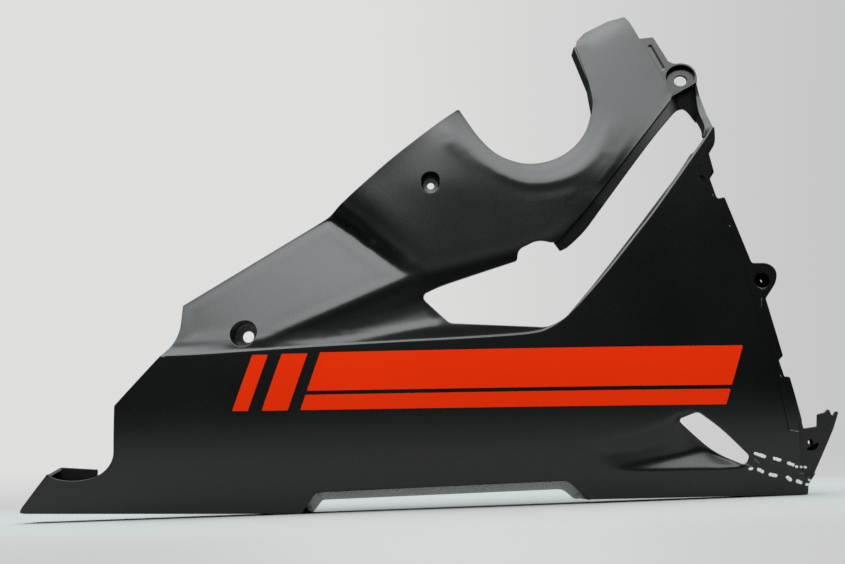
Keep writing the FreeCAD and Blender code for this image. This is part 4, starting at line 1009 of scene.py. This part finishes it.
m = Nodes("stripe_film")
co = m.place()
tone = m.noise(co, 9.0, 3.0)
m.link(m.mix(m.range(tone, 0.3, 0.7, 0.0, 1.0), (0.95, 0.0335, 0.0016, 1), (0.99, 0.0365, 0.0020, 1)), m.bsdf.inputs["Base Color"])
m.bsdf.inputs["Specular IOR Level"].default_value = 0.06
m.link(m.range(m.noise(co, 300.0), 0.3, 0.7, 0.42, 0.5), m.bsdf.inputs["Roughness"])
m.bump(m.noise(co, 1800.0), 0.05, 0.0002)
film_ob.data.materials.append(m.mat)

m = Nodes("bush_rubber")
co = m.place()
m.link(m.mix(m.noise(co, 160.0, 3.0), (0.016, 0.012, 0.011, 1), (0.034, 0.024, 0.021, 1)), m.bsdf.inputs["Base Color"])
m.link(m.range(m.noise(co, 700.0), 0.3, 0.7, 0.55, 0.72), m.bsdf.inputs["Roughness"])
m.bump(m.noise(co, 1500.0, 3.0), 0.3, 0.0002)
bush_ob.data.materials.append(m.mat)

# ---------------------------------------------------------------- floor, light, camera
me = bpy.data.meshes.new("floor")
s, lean = 7.0, 0.0127          # touches the two lowest places of the bottom edge
z0, z1 = (-0.2926 - lean * (s - 0.1206)), (-0.2926 + lean * (s + 0.1206))
me.from_pydata([(-s, -s, z0), (s, -s, z1), (s, s, z1), (-s, s, z0)], [], [(0, 1, 2, 3)])
floor = bpy.data.objects.new("floor", me)
bpy.context.scene.collection.objects.link(floor)
m = Nodes("floor_pale")
co = m.place()
m.link(m.mix(m.noise(co, 3.0, 3.0), (0.325, 0.33, 0.33, 1), (0.34, 0.345, 0.345, 1)), m.bsdf.inputs["Base Color"])
m.bsdf.inputs["Roughness"].default_value = 0.7
m.bsdf.inputs["Specular IOR Level"].default_value = 0.1
sep = m.new("ShaderNodeSeparateXYZ")
m.link(co, sep.inputs[0])
over = m.math("MAXIMUM", m.math("SUBTRACT", m.math("ABSOLUTE", sep.outputs[0]), 0.38), 0.0)
deep = m.math("MAXIMUM", m.math("MULTIPLY", sep.outputs[1], -1.0), m.math("MULTIPLY", sep.outputs[1], 0.35))
far = m.math("SQRT", m.math("ADD", m.math("MULTIPLY", over, over), m.math("MULTIPLY", deep, deep)))
fade = m.new("ShaderNodeMixShader")
m.link(m.range(far, 0.08, 0.46, 0.0, 1.0, True), fade.inputs[0])
m.link(m.bsdf.outputs[0], fade.inputs[1])
m.link(m.new("ShaderNodeBsdfTransparent").outputs[0], fade.inputs[2])
m.link(fade.outputs[0], m.out.inputs[0])
floor.data.materials.append(m.mat)


def area(name, at, aim, size, power, colour=(1, 1, 1)):
    d = bpy.data.lights.new(name, "AREA")
    d.shape = "RECTANGLE"
    d.size, d.size_y = size
    d.energy = power
    d.color = colour
    o = bpy.data.objects.new(name, d)
    o.location = at
    o.rotation_mode = "QUATERNION"
    o.rotation_quaternion = (Vector(aim) - Vector(at)).to_track_quat("-Z", "Y")
    bpy.context.scene.collection.objects.link(o)
    return o


# pale room seen behind, a wide soft light from above and in front
world = bpy.data.worlds.new("studio")
bpy.context.scene.world = world
world.use_nodes = True
w = Nodes.__new__(Nodes)
w.t = world.node_tree
w.t.nodes.clear()
wo = w.new("ShaderNodeOutputWorld")
seen, lit = w.new("ShaderNodeBackground"), w.new("ShaderNodeBackground")
way = w.new("ShaderNodeSeparateXYZ")
w.link(w.new("ShaderNodeTexCoord").outputs["Generated"], way.inputs[0])
across, ahead, up = way.outputs
# backdrop seen by the camera: painted light falloff, with the wall darker towards the right and the table darker
# towards the sides
wall = w.mix(w.range(across, -0.15, 0.5, 0.0, 1.0, True), (0.735, 0.735, 0.725), (0.54, 0.55, 0.545))
table = w.mix(w.range(w.math("ABSOLUTE", across), 0.02, 0.36, 0.0, 1.0, True), (0.675, 0.685, 0.685), (0.60, 0.61, 0.605))
w.link(w.mix(w.range(up, 0.01, -0.03, 0.0, 1.0, True), wall, table), seen.inputs[0])
sky = w.range(up, 0.585, 0.72, 0.0, 1.0, True)
front = w.range(ahead, -0.15, 0.45, 1.0, 0.30, True)
level = w.math("MULTIPLY", w.math("MULTIPLY", sky, front), w.range(across, -0.3, 0.25, 5.4, 4.1, True))
haze = w.math("MULTIPLY", w.range(up, -0.1, 0.5, 0.085, 0.31), w.range(across, -0.1, 0.3, 1.0, 0.2, True))
haze = w.math("MULTIPLY", haze, w.range(across, -0.4, -0.1, 0.6, 1.0, True))
haze = w.math("MULTIPLY", haze, w.range(ahead, 0.1, 0.6, 1.0, 0.3, True))
w.link(w.math("ADD", level, haze), lit.inputs[1])
lit.inputs[0].default_value = (0.955, 1.0, 1.0, 1)
path, mixw = w.new("ShaderNodeLightPath"), w.new("ShaderNodeMixShader")
w.link(path.outputs["Is Camera Ray"], mixw.inputs[0])
w.link(lit.outputs[0], mixw.inputs[1])
w.link(seen.outputs[0], mixw.inputs[2])
w.link(mixw.outputs[0], wo.inputs[0])

cam_data = bpy.data.cameras.new("camera")
cam_data.sensor_width = 36.0
cam_data.lens = 36.0 * 1000.0 / 845.0
cam_data.clip_start, cam_data.clip_end = 0.01, 100.0
cam = bpy.data.objects.new("camera", cam_data)
right_v, up_v = Vector((0.999182, 0.031924, -0.024808)), Vector((0.030290, -0.184669, 0.982334))
fwd = Vector((-0.026779, 0.982282, 0.185485))
rot = Matrix((right_v, up_v, -fwd)).transposed().to_4x4()
cam.matrix_world = Matrix.Translation(Vector((0.0145, -0.890408, -0.258197))) @ rot
bpy.context.scene.collection.objects.link(cam)
bpy.context.scene.camera = cam

scene = bpy.context.scene
scene.view_settings.view_transform = "Standard"
